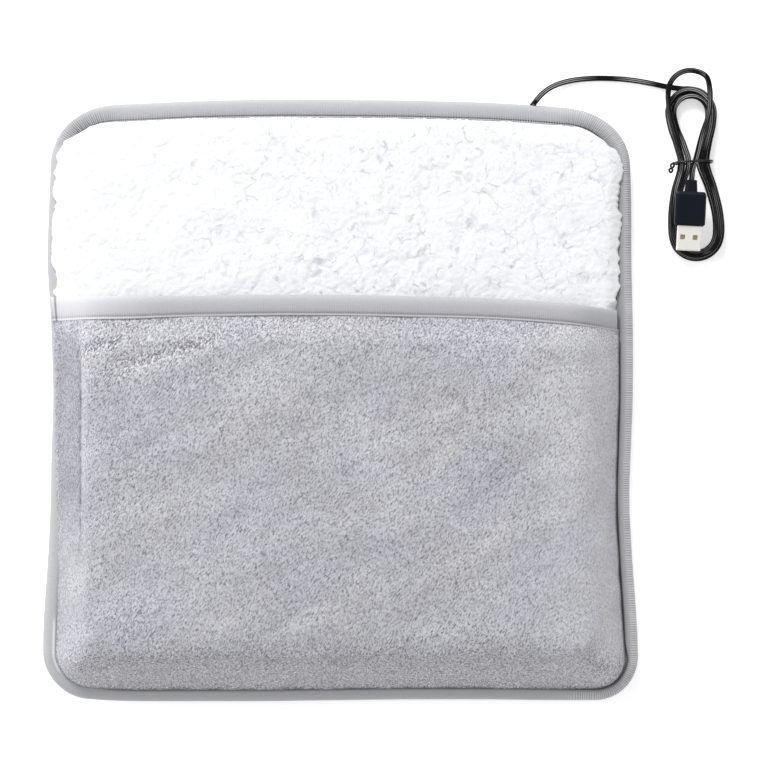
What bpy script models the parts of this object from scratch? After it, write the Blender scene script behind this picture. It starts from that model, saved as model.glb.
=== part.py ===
# Electric foot warmer: a square padded pocket for both feet, heated by a
# resistance wire in its base and fed through a thin twin lead with a flat plug.
# Metres, +Z up. The origin is on the floor under the middle of the pad, +Y points
# out of the mouth of the pocket towards the open back edge, and the toes lie at -Y.
import math

import bmesh
import bpy
from mathutils import Vector

mm = 0.001

# The whole pad
pad_depth = 302 * mm
open_width = 290 * mm
toe_width = 300 * mm
open_corner_radius = 32 * mm
toe_corner_radius = 22 * mm
corner_steps = 6
seat_gap = 0.3 * mm

# The sewn edge: a folded tape that grips the cloths all round
tape_thickness = 1.2 * mm
tape_width = 8 * mm
tape_bottom = 3.4 * mm
tape_height = 8 * mm
tape_round = 1.1 * mm
slot_depth = 5.4 * mm

# The base, from the floor up
cover_thickness = 1.5 * mm
base_wadding_thickness = 3.5 * mm
carrier_thickness = 0.8 * mm
wire_diameter = 1.6 * mm
lining_edge_thickness = 1.6 * mm
lining_crown = 16 * mm
underside_flat_inset = 15 * mm
wadding_inset = 13 * mm
lining_slope = 32 * mm

# The heater
carrier_side_gap = 37 * mm
carrier_toe_gap = 35 * mm
carrier_depth = 196 * mm
carrier_corner = 14 * mm
wire_rows = 8
wire_margin = 14 * mm
wire_end_reach = 6 * mm
splice_diameter = 3.0 * mm
splice_length = 9 * mm
core_diameter = 1.3 * mm
cutout_size = (19 * mm, 7.5 * mm, 3.2 * mm)

# The pocket's padded front
pocket_gap = 0.8 * mm
pocket_corner_extra = 1 * mm
hollow_height = 13 * mm
pocket_rise = 31 * mm
pocket_fullness = 2.5
pocket_lining_thickness = 4.5 * mm
pocket_wadding_thickness = 3 * mm
pocket_edge_thickness = 0.9 * mm
mouth_setback = 102 * mm
mouth_tape_width = 10.5 * mm
mouth_tape_thickness = 1.1 * mm
mouth_slope = 12 * mm
mouth_settle_share = 0.14
pinch_share = 0.2

# The lead
lead_diameter = 2.8 * mm
lead_floor_gap = 0.1 * mm
lead_exit_from_side = 47 * mm
lead_exit_turn = math.radians(50)
sleeve_outer_diameter = 4.4 * mm
sleeve_bore_diameter = 3.3 * mm
sleeve_length = 15 * mm
sleeve_proud = 0.6 * mm

# The hank
hank_turns = 4
hank_loop_points = 24
hank_diameter = 2.7 * mm
hank_from_exit = 79 * mm
hank_waist_setback = 31 * mm
hank_top_reach = 37 * mm
hank_big_top_reach = 47 * mm
hank_bottom_reach = 49 * mm
hank_lobe_half_width = 13.4 * mm
hank_top_half_width = 11.8 * mm
hank_waist_half_width = 7.3 * mm
hank_step = 3.25 * mm
hank_waist_step = 3.1 * mm
hank_layer_step = 3.35 * mm
hank_lean = math.radians(2.5)
tie_lift_reach = 22 * mm
tie_diameter = 1.1 * mm
tie_twist_radius = 0.85 * mm
tie_tail_length = 5 * mm
tie_tail_slant = math.radians(70)
tie_steps = 28

# The plug
plug_from_centre = 1.8 * mm
plug_from_waist = 24 * mm
plug_lean = math.radians(3)
plug_width = 15.6 * mm
plug_length = 17 * mm
plug_thickness = 8 * mm
plug_round = 1.6 * mm
neck_width = 6.4 * mm
neck_length = 6 * mm
neck_thickness = 4.6 * mm
shell_width = 12 * mm
shell_height = 4.5 * mm
shell_length = 12.5 * mm
shell_wall = 0.35 * mm
shell_window = 2.4 * mm
shell_window_spacing = 6.3 * mm
shell_window_from_body = 3.6 * mm
tongue_height = 1.9 * mm
contact_count = 4
contact_pitch = 2.2 * mm
contact_width = 1.0 * mm
contact_thickness = 0.3 * mm
contact_length = 7.5 * mm

overrun = 3 * mm

half_depth = pad_depth / 2
half_open = open_width / 2
half_toe = toe_width / 2
carrier_width = open_width - 2 * carrier_side_gap
carrier_centre_y = carrier_toe_gap + carrier_depth / 2 - half_depth
mouth_y = half_depth - mouth_setback
lead_exit_x = half_open - lead_exit_from_side
hank_centre_x = lead_exit_x + hank_from_exit
hank_waist_y = half_depth - hank_waist_setback
hank_top_y = hank_waist_y + hank_top_reach
hank_big_top_y = hank_waist_y + hank_big_top_reach
hank_bottom_y = hank_waist_y - hank_bottom_reach


def clear_scene():
    for obj in list(bpy.data.objects):
        bpy.data.objects.remove(obj, do_unlink=True)


def make_material(name, colour, roughness, metallic=0.0):
    material = bpy.data.materials.new(name)
    material.use_nodes = True
    shader = material.node_tree.nodes["Principled BSDF"]
    shader.inputs["Base Color"].default_value = (*colour, 1.0)
    shader.inputs["Roughness"].default_value = roughness
    shader.inputs["Metallic"].default_value = metallic
    return material


def new_object(name, vertices, faces, material, smooth=True):
    mesh = bpy.data.meshes.new(name)
    mesh.from_pydata([tuple(v) for v in vertices], [], faces)
    shape = bmesh.new()
    shape.from_mesh(mesh)
    bmesh.ops.recalc_face_normals(shape, faces=shape.faces)
    shape.to_mesh(mesh)
    shape.free()
    obj = bpy.data.objects.new(name, mesh)
    bpy.context.scene.collection.objects.link(obj)
    mesh.materials.append(material)
    if smooth:
        mesh.shade_smooth()
        mesh.set_sharp_from_angle(angle=math.radians(35))
    return obj


# Outlines
def pad_loop(inset):
    # The pad's rounded outline, drawn in by inset, anticlockwise from the toe's left
    toe_r = max(toe_corner_radius - inset, tape_width / 4)
    open_r = max(open_corner_radius - inset, tape_width / 4)
    corners = [
        (-half_toe + inset + toe_r, -half_depth + inset + toe_r, toe_r, 180),
        (half_toe - inset - toe_r, -half_depth + inset + toe_r, toe_r, 270),
        (half_open - inset - open_r, half_depth - inset - open_r, open_r, 0),
        (-half_open + inset + open_r, half_depth - inset - open_r, open_r, 90),
    ]
    points = []
    for x, y, radius, start in corners:
        for step in range(corner_steps + 1):
            angle = math.radians(start + 90 * step / corner_steps)
            points.append((x + radius * math.cos(angle), y + radius * math.sin(angle)))
    return points


def rounded_rectangle(width, depth, radius, steps=4):
    points = []
    for sx, sy, start in ((1, 1, 0), (-1, 1, 90), (-1, -1, 180), (1, -1, 270)):
        cx = sx * (width / 2 - radius)
        cy = sy * (depth / 2 - radius)
        for step in range(steps + 1):
            angle = math.radians(start + 90 * step / steps)
            points.append((cx + radius * math.cos(angle), cy + radius * math.sin(angle)))
    return points


def skin_rings(rings, close=False):
    # Faces between equal rings of points, with both ends capped or joined
    count = len(rings[0])
    vertices = [p for ring in rings for p in ring]
    faces = []
    last = len(rings) if close else len(rings) - 1
    for k in range(last):
        a = k * count
        b = ((k + 1) % len(rings)) * count
        for i in range(count):
            j = (i + 1) % count
            faces.append((a + i, a + j, b + j, b + i))
    if not close:
        faces.append(tuple(reversed(range(count))))
        top = (len(rings) - 1) * count
        faces.append(tuple(top + i for i in range(count)))
    return vertices, faces


def sweep_round_pad(name, profile, material, close=False):
    # A profile of (inset, height) carried round the pad's outline
    rings = [[(x, y, z) for x, y in pad_loop(inset)] for inset, z in profile]
    vertices, faces = skin_rings(rings, close)
    return new_object(name, vertices, faces, material)


def slab(name, outline, bottom, top, material, centre=(0, 0)):
    rings = [[(x + centre[0], y + centre[1], z) for x, y in outline] for z in (bottom, top)]
    vertices, faces = skin_rings(rings)
    return new_object(name, vertices, faces, material)


def tube(name, points, diameter, material, resolution=2):
    curve = bpy.data.curves.new(name, "CURVE")
    curve.dimensions = "3D"
    curve.bevel_depth = diameter / 2
    curve.bevel_resolution = resolution
    curve.use_fill_caps = True
    spline = curve.splines.new("POLY")
    spline.points.add(len(points) - 1)
    for target, point in zip(spline.points, points):
        target.co = (*point, 1)
    spline.use_smooth = True
    obj = bpy.data.objects.new(name, curve)
    bpy.context.scene.collection.objects.link(obj)
    curve.materials.append(material)
    return obj


def smooth_route(points, step):
    # A centripetal spline through hand-placed points, read at an even step
    pts = [Vector(p) for p in points]
    pts = [pts[0] * 2 - pts[1]] + pts + [pts[-1] * 2 - pts[-2]]
    fine = []
    for k in range(1, len(pts) - 2):
        p0, p1, p2, p3 = pts[k - 1], pts[k], pts[k + 1], pts[k + 2]
        t0 = 0.0
        t1 = t0 + math.sqrt((p1 - p0).length)
        t2 = t1 + math.sqrt((p2 - p1).length)
        t3 = t2 + math.sqrt((p3 - p2).length)
        for i in range(24):
            t = t1 + (t2 - t1) * i / 24
            a1 = p0 * ((t1 - t) / (t1 - t0)) + p1 * ((t - t0) / (t1 - t0))
            a2 = p1 * ((t2 - t) / (t2 - t1)) + p2 * ((t - t1) / (t2 - t1))
            a3 = p2 * ((t3 - t) / (t3 - t2)) + p3 * ((t - t2) / (t3 - t2))
            b1 = a1 * ((t2 - t) / (t2 - t0)) + a2 * ((t - t0) / (t2 - t0))
            b2 = a2 * ((t3 - t) / (t3 - t1)) + a3 * ((t - t1) / (t3 - t1))
            fine.append(b1 * ((t2 - t) / (t2 - t1)) + b2 * ((t - t1) / (t2 - t1)))
    fine.append(pts[-2])
    lengths = [0.0]
    for a, b in zip(fine, fine[1:]):
        lengths.append(lengths[-1] + (b - a).length)
    count = max(2, round(lengths[-1] / step))
    even = []
    k = 0
    for i in range(count + 1):
        goal = lengths[-1] * i / count
        while k < len(fine) - 2 and lengths[k + 1] < goal:
            k += 1
        share = (goal - lengths[k]) / (lengths[k + 1] - lengths[k])
        even.append(fine[k].lerp(fine[k + 1], min(1.0, share)))
    return even


def route_length(points):
    return sum((Vector(b) - Vector(a)).length for a, b in zip(points, points[1:]))


def cut(target, cutter):
    cutter.hide_render = True
    cutter.display_type = "WIRE"
    boolean = target.modifiers.new("cut", "BOOLEAN")
    boolean.operation = "DIFFERENCE"
    boolean.solver = "EXACT"
    boolean.object = cutter


def rod(name, start, end, diameter, material, sides=16):
    # A straight round bar between two points
    start, end = Vector(start), Vector(end)
    along = (end - start).normalized()
    side = along.cross(Vector((0, 0, 1)))
    if side.length < 0.5:
        side = along.cross(Vector((1, 0, 0)))
    side.normalize()
    up = side.cross(along)
    rings = []
    for middle in (start, end):
        ring = []
        for i in range(sides):
            angle = 2 * math.pi * i / sides
            ring.append(middle + (side * math.cos(angle) - up * math.sin(angle)) * diameter / 2)
        rings.append(ring)
    vertices, faces = skin_rings(rings)
    return new_object(name, vertices, faces, material)


clear_scene()

backing_cloth = make_material("backing_cloth", (0.30, 0.30, 0.33), 0.9)
front_plush = make_material("front_plush", (0.33, 0.33, 0.37), 0.95)
white_pile = make_material("white_pile", (0.86, 0.85, 0.83), 0.95)
white_wadding = make_material("white_wadding", (0.80, 0.80, 0.78), 0.95)
carrier_cloth = make_material("carrier_cloth", (0.72, 0.74, 0.72), 0.85)
grey_tape = make_material("grey_tape", (0.47, 0.47, 0.49), 0.85)
heater_sheath = make_material("heater_sheath", (0.75, 0.25, 0.12), 0.45)
red_sheath = make_material("red_sheath", (0.65, 0.05, 0.04), 0.45)
black_sheath = make_material("black_sheath", (0.015, 0.015, 0.017), 0.35)
black_rubber = make_material("black_rubber", (0.02, 0.02, 0.022), 0.55)
splice_tin = make_material("splice_tin", (0.70, 0.68, 0.62), 0.35, 1.0)
cutout_shell = make_material("cutout_shell", (0.62, 0.60, 0.56), 0.4, 1.0)
plug_plastic = make_material("plug_plastic", (0.025, 0.027, 0.034), 0.4)
bright_steel = make_material("bright_steel", (0.74, 0.74, 0.73), 0.25, 1.0)
tongue_plastic = make_material("tongue_plastic", (0.85, 0.85, 0.84), 0.45)
gilt_contact = make_material("gilt_contact", (0.83, 0.62, 0.25), 0.3, 1.0)

# The sewn edge tape
tape_top = tape_bottom + tape_height
slot_bottom = tape_bottom + tape_thickness
slot_top = tape_top - tape_thickness
tape_profile = [
    (tape_width, slot_top),
    (tape_width, tape_top - tape_round / 2),
    (tape_width - tape_round, tape_top),
    (tape_round * 2, tape_top),
    (tape_round, tape_top - tape_round / 2),
    (0, tape_top - tape_round * 2),
    (0, tape_bottom + tape_round * 2),
    (tape_round, tape_bottom + tape_round / 2),
    (tape_round * 2, tape_bottom),
    (tape_width, tape_bottom),
    (tape_width, slot_bottom),
    (tape_width - slot_depth, slot_bottom),
    (tape_width - slot_depth, slot_top),
]
edge_binding = sweep_round_pad("edge_binding", tape_profile, grey_tape, close=True)

# The base cover: flat on the floor, drawn up to the seam round its edge
slot_end_inset = tape_width - slot_depth + seat_gap
cover_edge_bottom = slot_bottom + seat_gap
cover_edge_top = cover_edge_bottom + cover_thickness
draw_span = underside_flat_inset - tape_width
base_cover = sweep_round_pad("base_cover", [
    (underside_flat_inset, 0),
    (tape_width + draw_span * 0.6, cover_edge_bottom * 0.12),
    (tape_width + draw_span * 0.32, cover_edge_bottom * 0.45),
    (tape_width + seat_gap * 2, cover_edge_bottom),
    (slot_end_inset, cover_edge_bottom),
    (slot_end_inset, cover_edge_top),
    (tape_width + draw_span * 0.25, cover_edge_top),
    (tape_width + draw_span * 0.55, cover_edge_bottom * 0.45 + cover_thickness),
    (tape_width + draw_span * 0.8, cover_edge_bottom * 0.12 + cover_thickness),
    (underside_flat_inset + draw_span * 0.2, cover_thickness),
], backing_cloth)

# The layers of the base, each a seat gap above the last
wadding_bottom = cover_thickness + seat_gap
wadding_top = wadding_bottom + base_wadding_thickness
lower_bottom = wadding_top + seat_gap
lower_top = lower_bottom + carrier_thickness
wire_height = lower_top + seat_gap + wire_diameter / 2
upper_bottom = wire_height + wire_diameter / 2 + seat_gap
upper_top = upper_bottom + carrier_thickness
lining_bottom = upper_top + seat_gap
wadding_rise = wadding_inset + draw_span
base_wadding = sweep_round_pad("base_wadding", [
    (wadding_rise + draw_span, wadding_bottom),
    (wadding_rise, wadding_bottom),
    (wadding_inset + draw_span / 2, wadding_bottom + base_wadding_thickness * 0.3),
    (wadding_inset + draw_span / 2, wadding_top - base_wadding_thickness * 0.15),
    (wadding_rise, wadding_top),
], white_wadding)

# The base lining: deep white pile, crowned, its edge gripped by the tape
lining_edge_top = slot_top - seat_gap - lining_edge_thickness
lining_edge_bottom = lining_edge_top - lining_edge_thickness


def lining_rise(inset):
    # Height of the base lining's face above its sewn edge
    share = min(1.0, max(0.0, (inset - tape_width) / lining_slope))
    return (lining_crown - lining_edge_top) * math.sqrt(1 - (1 - share) ** 2)


lining_rings = [
    (lining_slope + tape_width, lining_bottom),
    (tape_width + draw_span * 0.45, lining_bottom),
    (tape_width + seat_gap * 2, lining_edge_bottom),
    (slot_end_inset, lining_edge_bottom),
    (slot_end_inset, lining_edge_top),
    (tape_width, lining_edge_top),
]
for share in (0.04, 0.14, 0.3, 0.55, 0.8, 1.0):
    ring_inset = tape_width + lining_slope * share
    lining_rings.append((ring_inset, lining_edge_top + lining_rise(ring_inset)))
lining_rings.append((half_open - open_corner_radius, lining_crown))
base_lining = sweep_round_pad("base_lining", lining_rings, white_pile)

# The heater: a wire laid in rows between two carrier cloths
carrier_outline = rounded_rectangle(carrier_width, carrier_depth, carrier_corner)
carrier_centre = (0, carrier_centre_y)
slab("heater_carrier_lower", carrier_outline, lower_bottom, lower_top, carrier_cloth, carrier_centre)
slab("heater_carrier_upper", carrier_outline, upper_bottom, upper_top, carrier_cloth, carrier_centre)

row_length = carrier_depth - 2 * wire_margin
row_pitch = (carrier_width - 2 * wire_margin) / (wire_rows - 1)
bend_radius = row_pitch / 2
carrier_edge_y = carrier_centre_y + carrier_depth / 2
wire_points = []
for row in range(wire_rows):
    x = -carrier_width / 2 + wire_margin + row * row_pitch
    low = carrier_centre_y - row_length / 2 + bend_radius
    high = carrier_centre_y + row_length / 2 - bend_radius
    down = row % 2 == 0
    ends = (high, low) if down else (low, high)
    first = carrier_edge_y + wire_end_reach if row == 0 else ends[0]
    last = carrier_edge_y + wire_end_reach if row == wire_rows - 1 else ends[1]
    wire_points.append((x, first, wire_height))
    wire_points.append((x, last, wire_height))
    if row < wire_rows - 1:
        turn = -1 if down else 1
        for step in range(1, 6):
            angle = math.pi * (1 - step / 6)
            wire_points.append((x + bend_radius + bend_radius * math.cos(angle),
                                ends[1] + turn * bend_radius * math.sin(angle), wire_height))
tube("heating_wire", wire_points, wire_diameter, heater_sheath, 1)

wire_left_x = wire_points[0][0]
wire_right_x = wire_points[-1][0]
wire_end_y = carrier_edge_y + wire_end_reach
splice_start_y = wire_end_y + seat_gap
splice_end_y = splice_start_y + splice_length
for name, x in (("crimp_splice_left", wire_left_x), ("crimp_splice_right", wire_right_x)):
    rod(name, (x, splice_start_y, wire_height), (x, splice_end_y, wire_height),
        splice_diameter, splice_tin)

# The safety cutout in the feed, beside the heater
cutout_centre = (wire_left_x + cutout_size[0] * 2, splice_end_y + cutout_size[1])
slab("thermal_cutout", rounded_rectangle(cutout_size[0], cutout_size[1], cutout_size[2] / 3),
     wire_height - cutout_size[2] / 2, wire_height + cutout_size[2] / 2, cutout_shell, cutout_centre)

# The outlet sleeve and the lead's way through the seam
exit_along = Vector((math.cos(lead_exit_turn), math.sin(lead_exit_turn), 0))
seam_height = tape_bottom + tape_height / 2
exit_point = Vector((lead_exit_x, half_depth, seam_height))
sleeve_mouth = exit_point + exit_along * sleeve_proud
sleeve_tail = sleeve_mouth - exit_along * sleeve_length
channel = rod("channel", exit_point + exit_along * overrun * 2,
              sleeve_tail - exit_along * seat_gap * 2,
              sleeve_outer_diameter + seat_gap * 2, black_rubber)
cut(edge_binding, channel)
cut(base_cover, channel)
cut(base_lining, channel)
cord_outlet = rod("cord_outlet", sleeve_tail, sleeve_mouth, sleeve_outer_diameter, black_rubber)
sleeve_bore = rod("sleeve_bore", sleeve_tail - exit_along * overrun,
                  sleeve_mouth + exit_along * overrun, sleeve_bore_diameter, black_rubber)
cut(cord_outlet, sleeve_bore)

# Inside the seam: the lead's tail and its two cores
tail_turn = sleeve_tail - exit_along * sleeve_length
tail_end = Vector((wire_right_x - splice_length * 2, cutout_centre[1] + cutout_size[1], wire_height))
tube("lead_tail", smooth_route([sleeve_mouth - exit_along * seat_gap, sleeve_tail, tail_turn,
     tail_end + Vector((splice_length, 0, 0)), tail_end], lead_diameter * 2),
     lead_diameter, black_sheath)
core_gap = core_diameter / 2 + seat_gap
core_start_x = tail_end.x - seat_gap
right_splice_end = Vector((wire_right_x, splice_end_y + seat_gap, wire_height))
cutout_right = Vector((cutout_centre[0] + cutout_size[0] / 2 + seat_gap, cutout_centre[1], wire_height))
cutout_left = Vector((cutout_centre[0] - cutout_size[0] / 2 - seat_gap, cutout_centre[1], wire_height))
left_splice_end = Vector((wire_left_x, splice_end_y + seat_gap, wire_height))
tube("feed_wire_red", smooth_route([
    (core_start_x, tail_end.y - core_gap, wire_height),
    (core_start_x - splice_length, tail_end.y - core_gap * 2, wire_height),
    (core_start_x - splice_length / 2, right_splice_end.y + splice_length / 2, wire_height),
    (wire_right_x - splice_length / 3, right_splice_end.y + splice_length / 2, wire_height),
    tuple(right_splice_end)], core_diameter * 2), core_diameter, red_sheath, 1)
tube("feed_wire_black", smooth_route([
    (core_start_x, tail_end.y + core_gap, wire_height),
    (core_start_x - splice_length * 2, tail_end.y + core_gap, wire_height),
    (0, cutout_centre[1] + core_gap * 2, wire_height),
    (cutout_right.x + splice_length, cutout_centre[1], wire_height),
    tuple(cutout_right)], core_diameter * 3), core_diameter, black_sheath, 1)
tube("link_wire", smooth_route([
    tuple(cutout_left),
    (cutout_left.x - splice_length, cutout_centre[1], wire_height),
    (wire_left_x + splice_length / 4, left_splice_end.y + splice_length / 2, wire_height),
    tuple(left_splice_end)], core_diameter * 2), core_diameter, black_sheath, 1)

# The pocket's front, built on nested U-shaped lines round its sewn sides and toe.
# Its hinge is the toe seam: the front lifts there to let the feet in.
pocket_inset = tape_width + pocket_gap
pocket_edge_z = lining_edge_top + lining_rise(pocket_inset) + seat_gap * 3
hinge_y = -half_depth + pocket_inset
hinge_z = pocket_edge_z + pocket_edge_thickness
pad_mid_y = -half_depth / 3
run_shares = (0.0, 0.03, 0.08, 0.14, 0.22, 0.31, 0.4, 0.5, 0.64, 0.8, 1.0, 1.6, 2.5)
mouth_first_ring = 3
padded_y = mouth_y - mouth_tape_width - mouth_slope
side_row_shares = (0.2, 0.45, 0.75)


def side_x_at(inset, y):
    return half_toe - inset - (half_toe - half_open) * (y + half_depth) / pad_depth


def pocket_line(run, first_rows):
    # A U-shaped line, run inside the pocket's sewn edge, from one mouth corner to the other
    inset = pocket_inset + run
    radius = max(toe_corner_radius - inset + pocket_corner_extra, pocket_gap * 4)
    toe_y = hinge_y + run
    corner_y = toe_y + radius
    rows = list(first_rows) + [padded_y]
    for share in side_row_shares:
        rows.append(padded_y + (corner_y - padded_y) * share)
    right = [(side_x_at(inset, y), y) for y in rows]
    corner_x = side_x_at(inset, corner_y) - radius
    for step in range(corner_steps + 1):
        angle = math.radians(-90 * step / corner_steps)
        right.append((corner_x + radius * math.cos(angle), corner_y + radius * math.sin(angle)))
    right.append((corner_x / 2, toe_y))
    left = [(-x, y) for x, y in reversed(right)]
    return right + left


def pocket_hollow(run, y):
    # Roof of the hollow: it springs from the sewn edge and settles towards the mouth
    share = min(1.0, run / pocket_rise)
    rise = lining_crown + hollow_height - pocket_edge_z
    along = max(0.0, (y - pad_mid_y) / (mouth_y - pad_mid_y))
    settle = 1 - mouth_settle_share * along ** 2
    return pocket_edge_z + rise * settle * (1 - (1 - share) ** pocket_fullness)


def pocket_sheet(name, under, over, material, first_rows, edge_step=0):
    # A closed sheet between two height functions, over the nested lines
    low_rings = []
    high_rings = []
    for share in run_shares:
        run = edge_step + pocket_rise * share
        line = pocket_line(run, first_rows)
        low_rings.append([(x, y, under(run, y)) for x, y in line])
        high_rings.append([(x, y, over(run, y)) for x, y in line])
    count = len(low_rings[0])
    total = len(run_shares)
    high = total * count
    vertices = [p for ring in low_rings + high_rings for p in ring]
    faces = []
    for k in range(total - 1):
        for i in range(count - 1):
            a, b = k * count + i, k * count + i + 1
            c, d = b + count, a + count
            faces.append((a, d, c, b))
            faces.append((high + a, high + b, high + c, high + d))
    inner = (total - 1) * count
    for i in range(count // 2 - 1):
        a, b = inner + i, inner + i + 1
        c, d = inner + count - 2 - i, inner + count - 1 - i
        faces.append((a, d, c, b))
        faces.append((high + a, high + b, high + c, high + d))
    for i in range(count - 1):
        faces.append((i, i + 1, high + i + 1, high + i))
    mouth = [k * count for k in range(total)]
    mouth += [k * count + count - 1 for k in reversed(range(total))]
    for a, b in zip(mouth, mouth[1:]):
        faces.append((b, a, high + a, high + b))
    return new_object(name, vertices, faces, material)


def mouth_share(y):
    # 0 under the mouth tape, 1 in the padded part
    return min(1.0, max(0.0, (mouth_y - mouth_tape_width - seat_gap - y) / mouth_slope))


def edge_share(run):
    return min(1.0, run / (pocket_rise / 2))


def lining_over(run, y):
    full = pocket_lining_thickness - pocket_edge_thickness
    pinch = pinch_share + (1 - pinch_share) * mouth_share(y)
    return pocket_hollow(run, y) + pocket_edge_thickness + full * edge_share(run) * pinch


def wadding_under(run, y):
    return lining_over(run, y) + seat_gap


def wadding_over(run, y):
    full = pocket_wadding_thickness - pocket_edge_thickness
    pinch = pinch_share + (1 - pinch_share) * mouth_share(y)
    return wadding_under(run, y) + pocket_edge_thickness / 2 + full * edge_share(run) * pinch


def cover_under(run, y):
    return wadding_over(run, y) + seat_gap


def cover_over(run, y):
    return cover_under(run, y) + pocket_edge_thickness + (
        cover_thickness - pocket_edge_thickness) * edge_share(run)


tape_inner_y = mouth_y - mouth_tape_width - seat_gap
mouth_rows = (mouth_y - mouth_tape_thickness - seat_gap, tape_inner_y)
pocket_sheet("pocket_lining", pocket_hollow, lining_over, white_pile, mouth_rows)
pocket_sheet("pocket_wadding", wadding_under, wadding_over, white_wadding,
             (tape_inner_y,), pocket_edge_thickness)
pocket_sheet("pocket_cover", cover_under, cover_over, front_plush, mouth_rows)

# The mouth's tape, folded over the front's open edge
mouth_stations = [pocket_rise * share for share in run_shares[mouth_first_ring:]]
mouth_stations += [half_open * share for share in (0.75, 0.9)]
tape_rings = []
back_y = mouth_y - mouth_tape_width
for side in (1, -1):
    side_rings = []
    for run in mouth_stations:
        x = side * side_x_at(pocket_inset + run, mouth_y)
        t = mouth_tape_thickness
        over_back = cover_over(run, back_y) + seat_gap
        over_front = cover_over(run, mouth_y) + seat_gap
        under_back = pocket_hollow(run, back_y) - seat_gap
        under_front = pocket_hollow(run, mouth_y) - seat_gap
        side_rings.append([
            (x, back_y, over_back), (x, back_y, over_back + t),
            (x, mouth_y - t, over_front + t), (x, mouth_y, over_front),
            (x, mouth_y, under_front), (x, mouth_y - t, under_front - t),
            (x, back_y, under_back - t), (x, back_y, under_back),
            (x, mouth_y - t, under_front), (x, mouth_y - t, over_front)])
    tape_rings += side_rings if side == 1 else list(reversed(side_rings))
vertices, faces = skin_rings(tape_rings)
new_object("mouth_binding", vertices, faces, grey_tape)

# The front's pieces hang from its joint's axis, along the toe seam
pocket_hinge = bpy.data.objects.new("pocket_hinge", None)
pocket_hinge.location = (0, hinge_y, hinge_z)
bpy.context.scene.collection.objects.link(pocket_hinge)
bpy.context.view_layer.update()
for name in ("pocket_lining", "pocket_wadding", "pocket_cover", "mouth_binding"):
    bpy.data.objects[name].parent = pocket_hinge
    bpy.data.objects[name].matrix_parent_inverse = pocket_hinge.matrix_world.inverted()

# The hank: one tube, wound inwards on the floor, outwards above that, and once round on top.
# Each table gives a value at some turns of the winding: strands inwards, and the layer
inward_shares = [(-0.25, -0.25), (1.25, 1.2), (1.5, 1.2), (2.75, 0.0), (3.1, 0.55), (3.4, 0.55),
                 (3.75, 0.15), (4.0, 0.15)]
layer_shares = [(1.2, 0.0), (1.55, 1.0), (2.7, 1.0), (2.95, 2.0), (3.75, 2.0), (3.84, 3.0)]
hank_radius = hank_diameter / 2
layer_one_z = lead_floor_gap + hank_radius
layer_two_z = layer_one_z + hank_layer_step
layer_three_z = layer_two_z + hank_layer_step
layer_four_z = layer_three_z + hank_layer_step
tie_lift = tie_diameter + seat_gap
run_share = 0.11


def smooth(value):
    value = min(1.0, max(0.0, value))
    return value * value * (3 - 2 * value)


def table_value(table, turn, shape):
    # The table's value at a turn, eased between its rows by the given shape
    for (start, low), (end, high) in zip(table, table[1:]):
        if turn <= end:
            return low + (high - low) * shape((turn - start) / (end - start))
    return table[-1][1]


def even(value):
    return value


def lift_at(y):
    # The hank rises a little over the tie at its waist
    return tie_lift * smooth(1 - abs(y - hank_waist_y) / tie_lift_reach)


def lean(x, y):
    # The hank leans a little, about its waist
    dx, dy = x, y - hank_waist_y
    return (hank_centre_x + dx * math.cos(hank_lean) - dy * math.sin(hank_lean),
            hank_waist_y + dy * math.cos(hank_lean) + dx * math.sin(hank_lean))


def run_x(y, waist_x, lobe_x, spread_y):
    # A run's distance from the middle: drawn in at the waist, full at the lobe
    return waist_x + (lobe_x - waist_x) * smooth(abs(y - hank_waist_y) / spread_y)


def hank_point(turn):
    # One point of the winding: turn 0 is the right run's waist, and it goes clockwise
    step = table_value(inward_shares, turn, even)
    z = layer_one_z + hank_layer_step * table_value(layer_shares, turn, smooth)
    part = turn % 1.0
    waist_x = hank_waist_half_width - step * hank_waist_step
    upper = part > 0.5
    top_y = hank_big_top_y if turn > hank_turns - 0.5 else hank_top_y
    half_width = hank_top_half_width if upper else hank_lobe_half_width
    end_y = top_y if upper else hank_bottom_y
    out = 1 if upper else -1
    radius = half_width - step * hank_step
    centre_y = end_y - out * half_width
    spread_y = min(abs(centre_y - hank_waist_y), abs(hank_top_y - half_width - hank_waist_y))
    local = part - 0.5 if upper else part
    first_side = -1 if upper else 1
    if local < run_share:
        y = hank_waist_y + (centre_y - hank_waist_y) * local / run_share
        x = first_side * run_x(y, waist_x, radius, spread_y)
    elif local > 0.5 - run_share:
        y = hank_waist_y + (centre_y - hank_waist_y) * (0.5 - local) / run_share
        x = -first_side * run_x(y, waist_x, radius, spread_y)
    else:
        angle = math.pi * (local - run_share) / (0.5 - 2 * run_share)
        x = first_side * radius * math.cos(angle)
        y = centre_y + out * radius * math.sin(angle)
    return (*lean(x, y), z + lift_at(y))


hank_points = []
last_turn = hank_turns - run_share - 0.06
samples = round((last_turn + 0.25) * hank_loop_points)
for i in range(samples + 1):
    turn = -0.25 + (last_turn + 0.25) * i / samples
    hank_points.append(Vector(hank_point(turn)))

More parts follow.
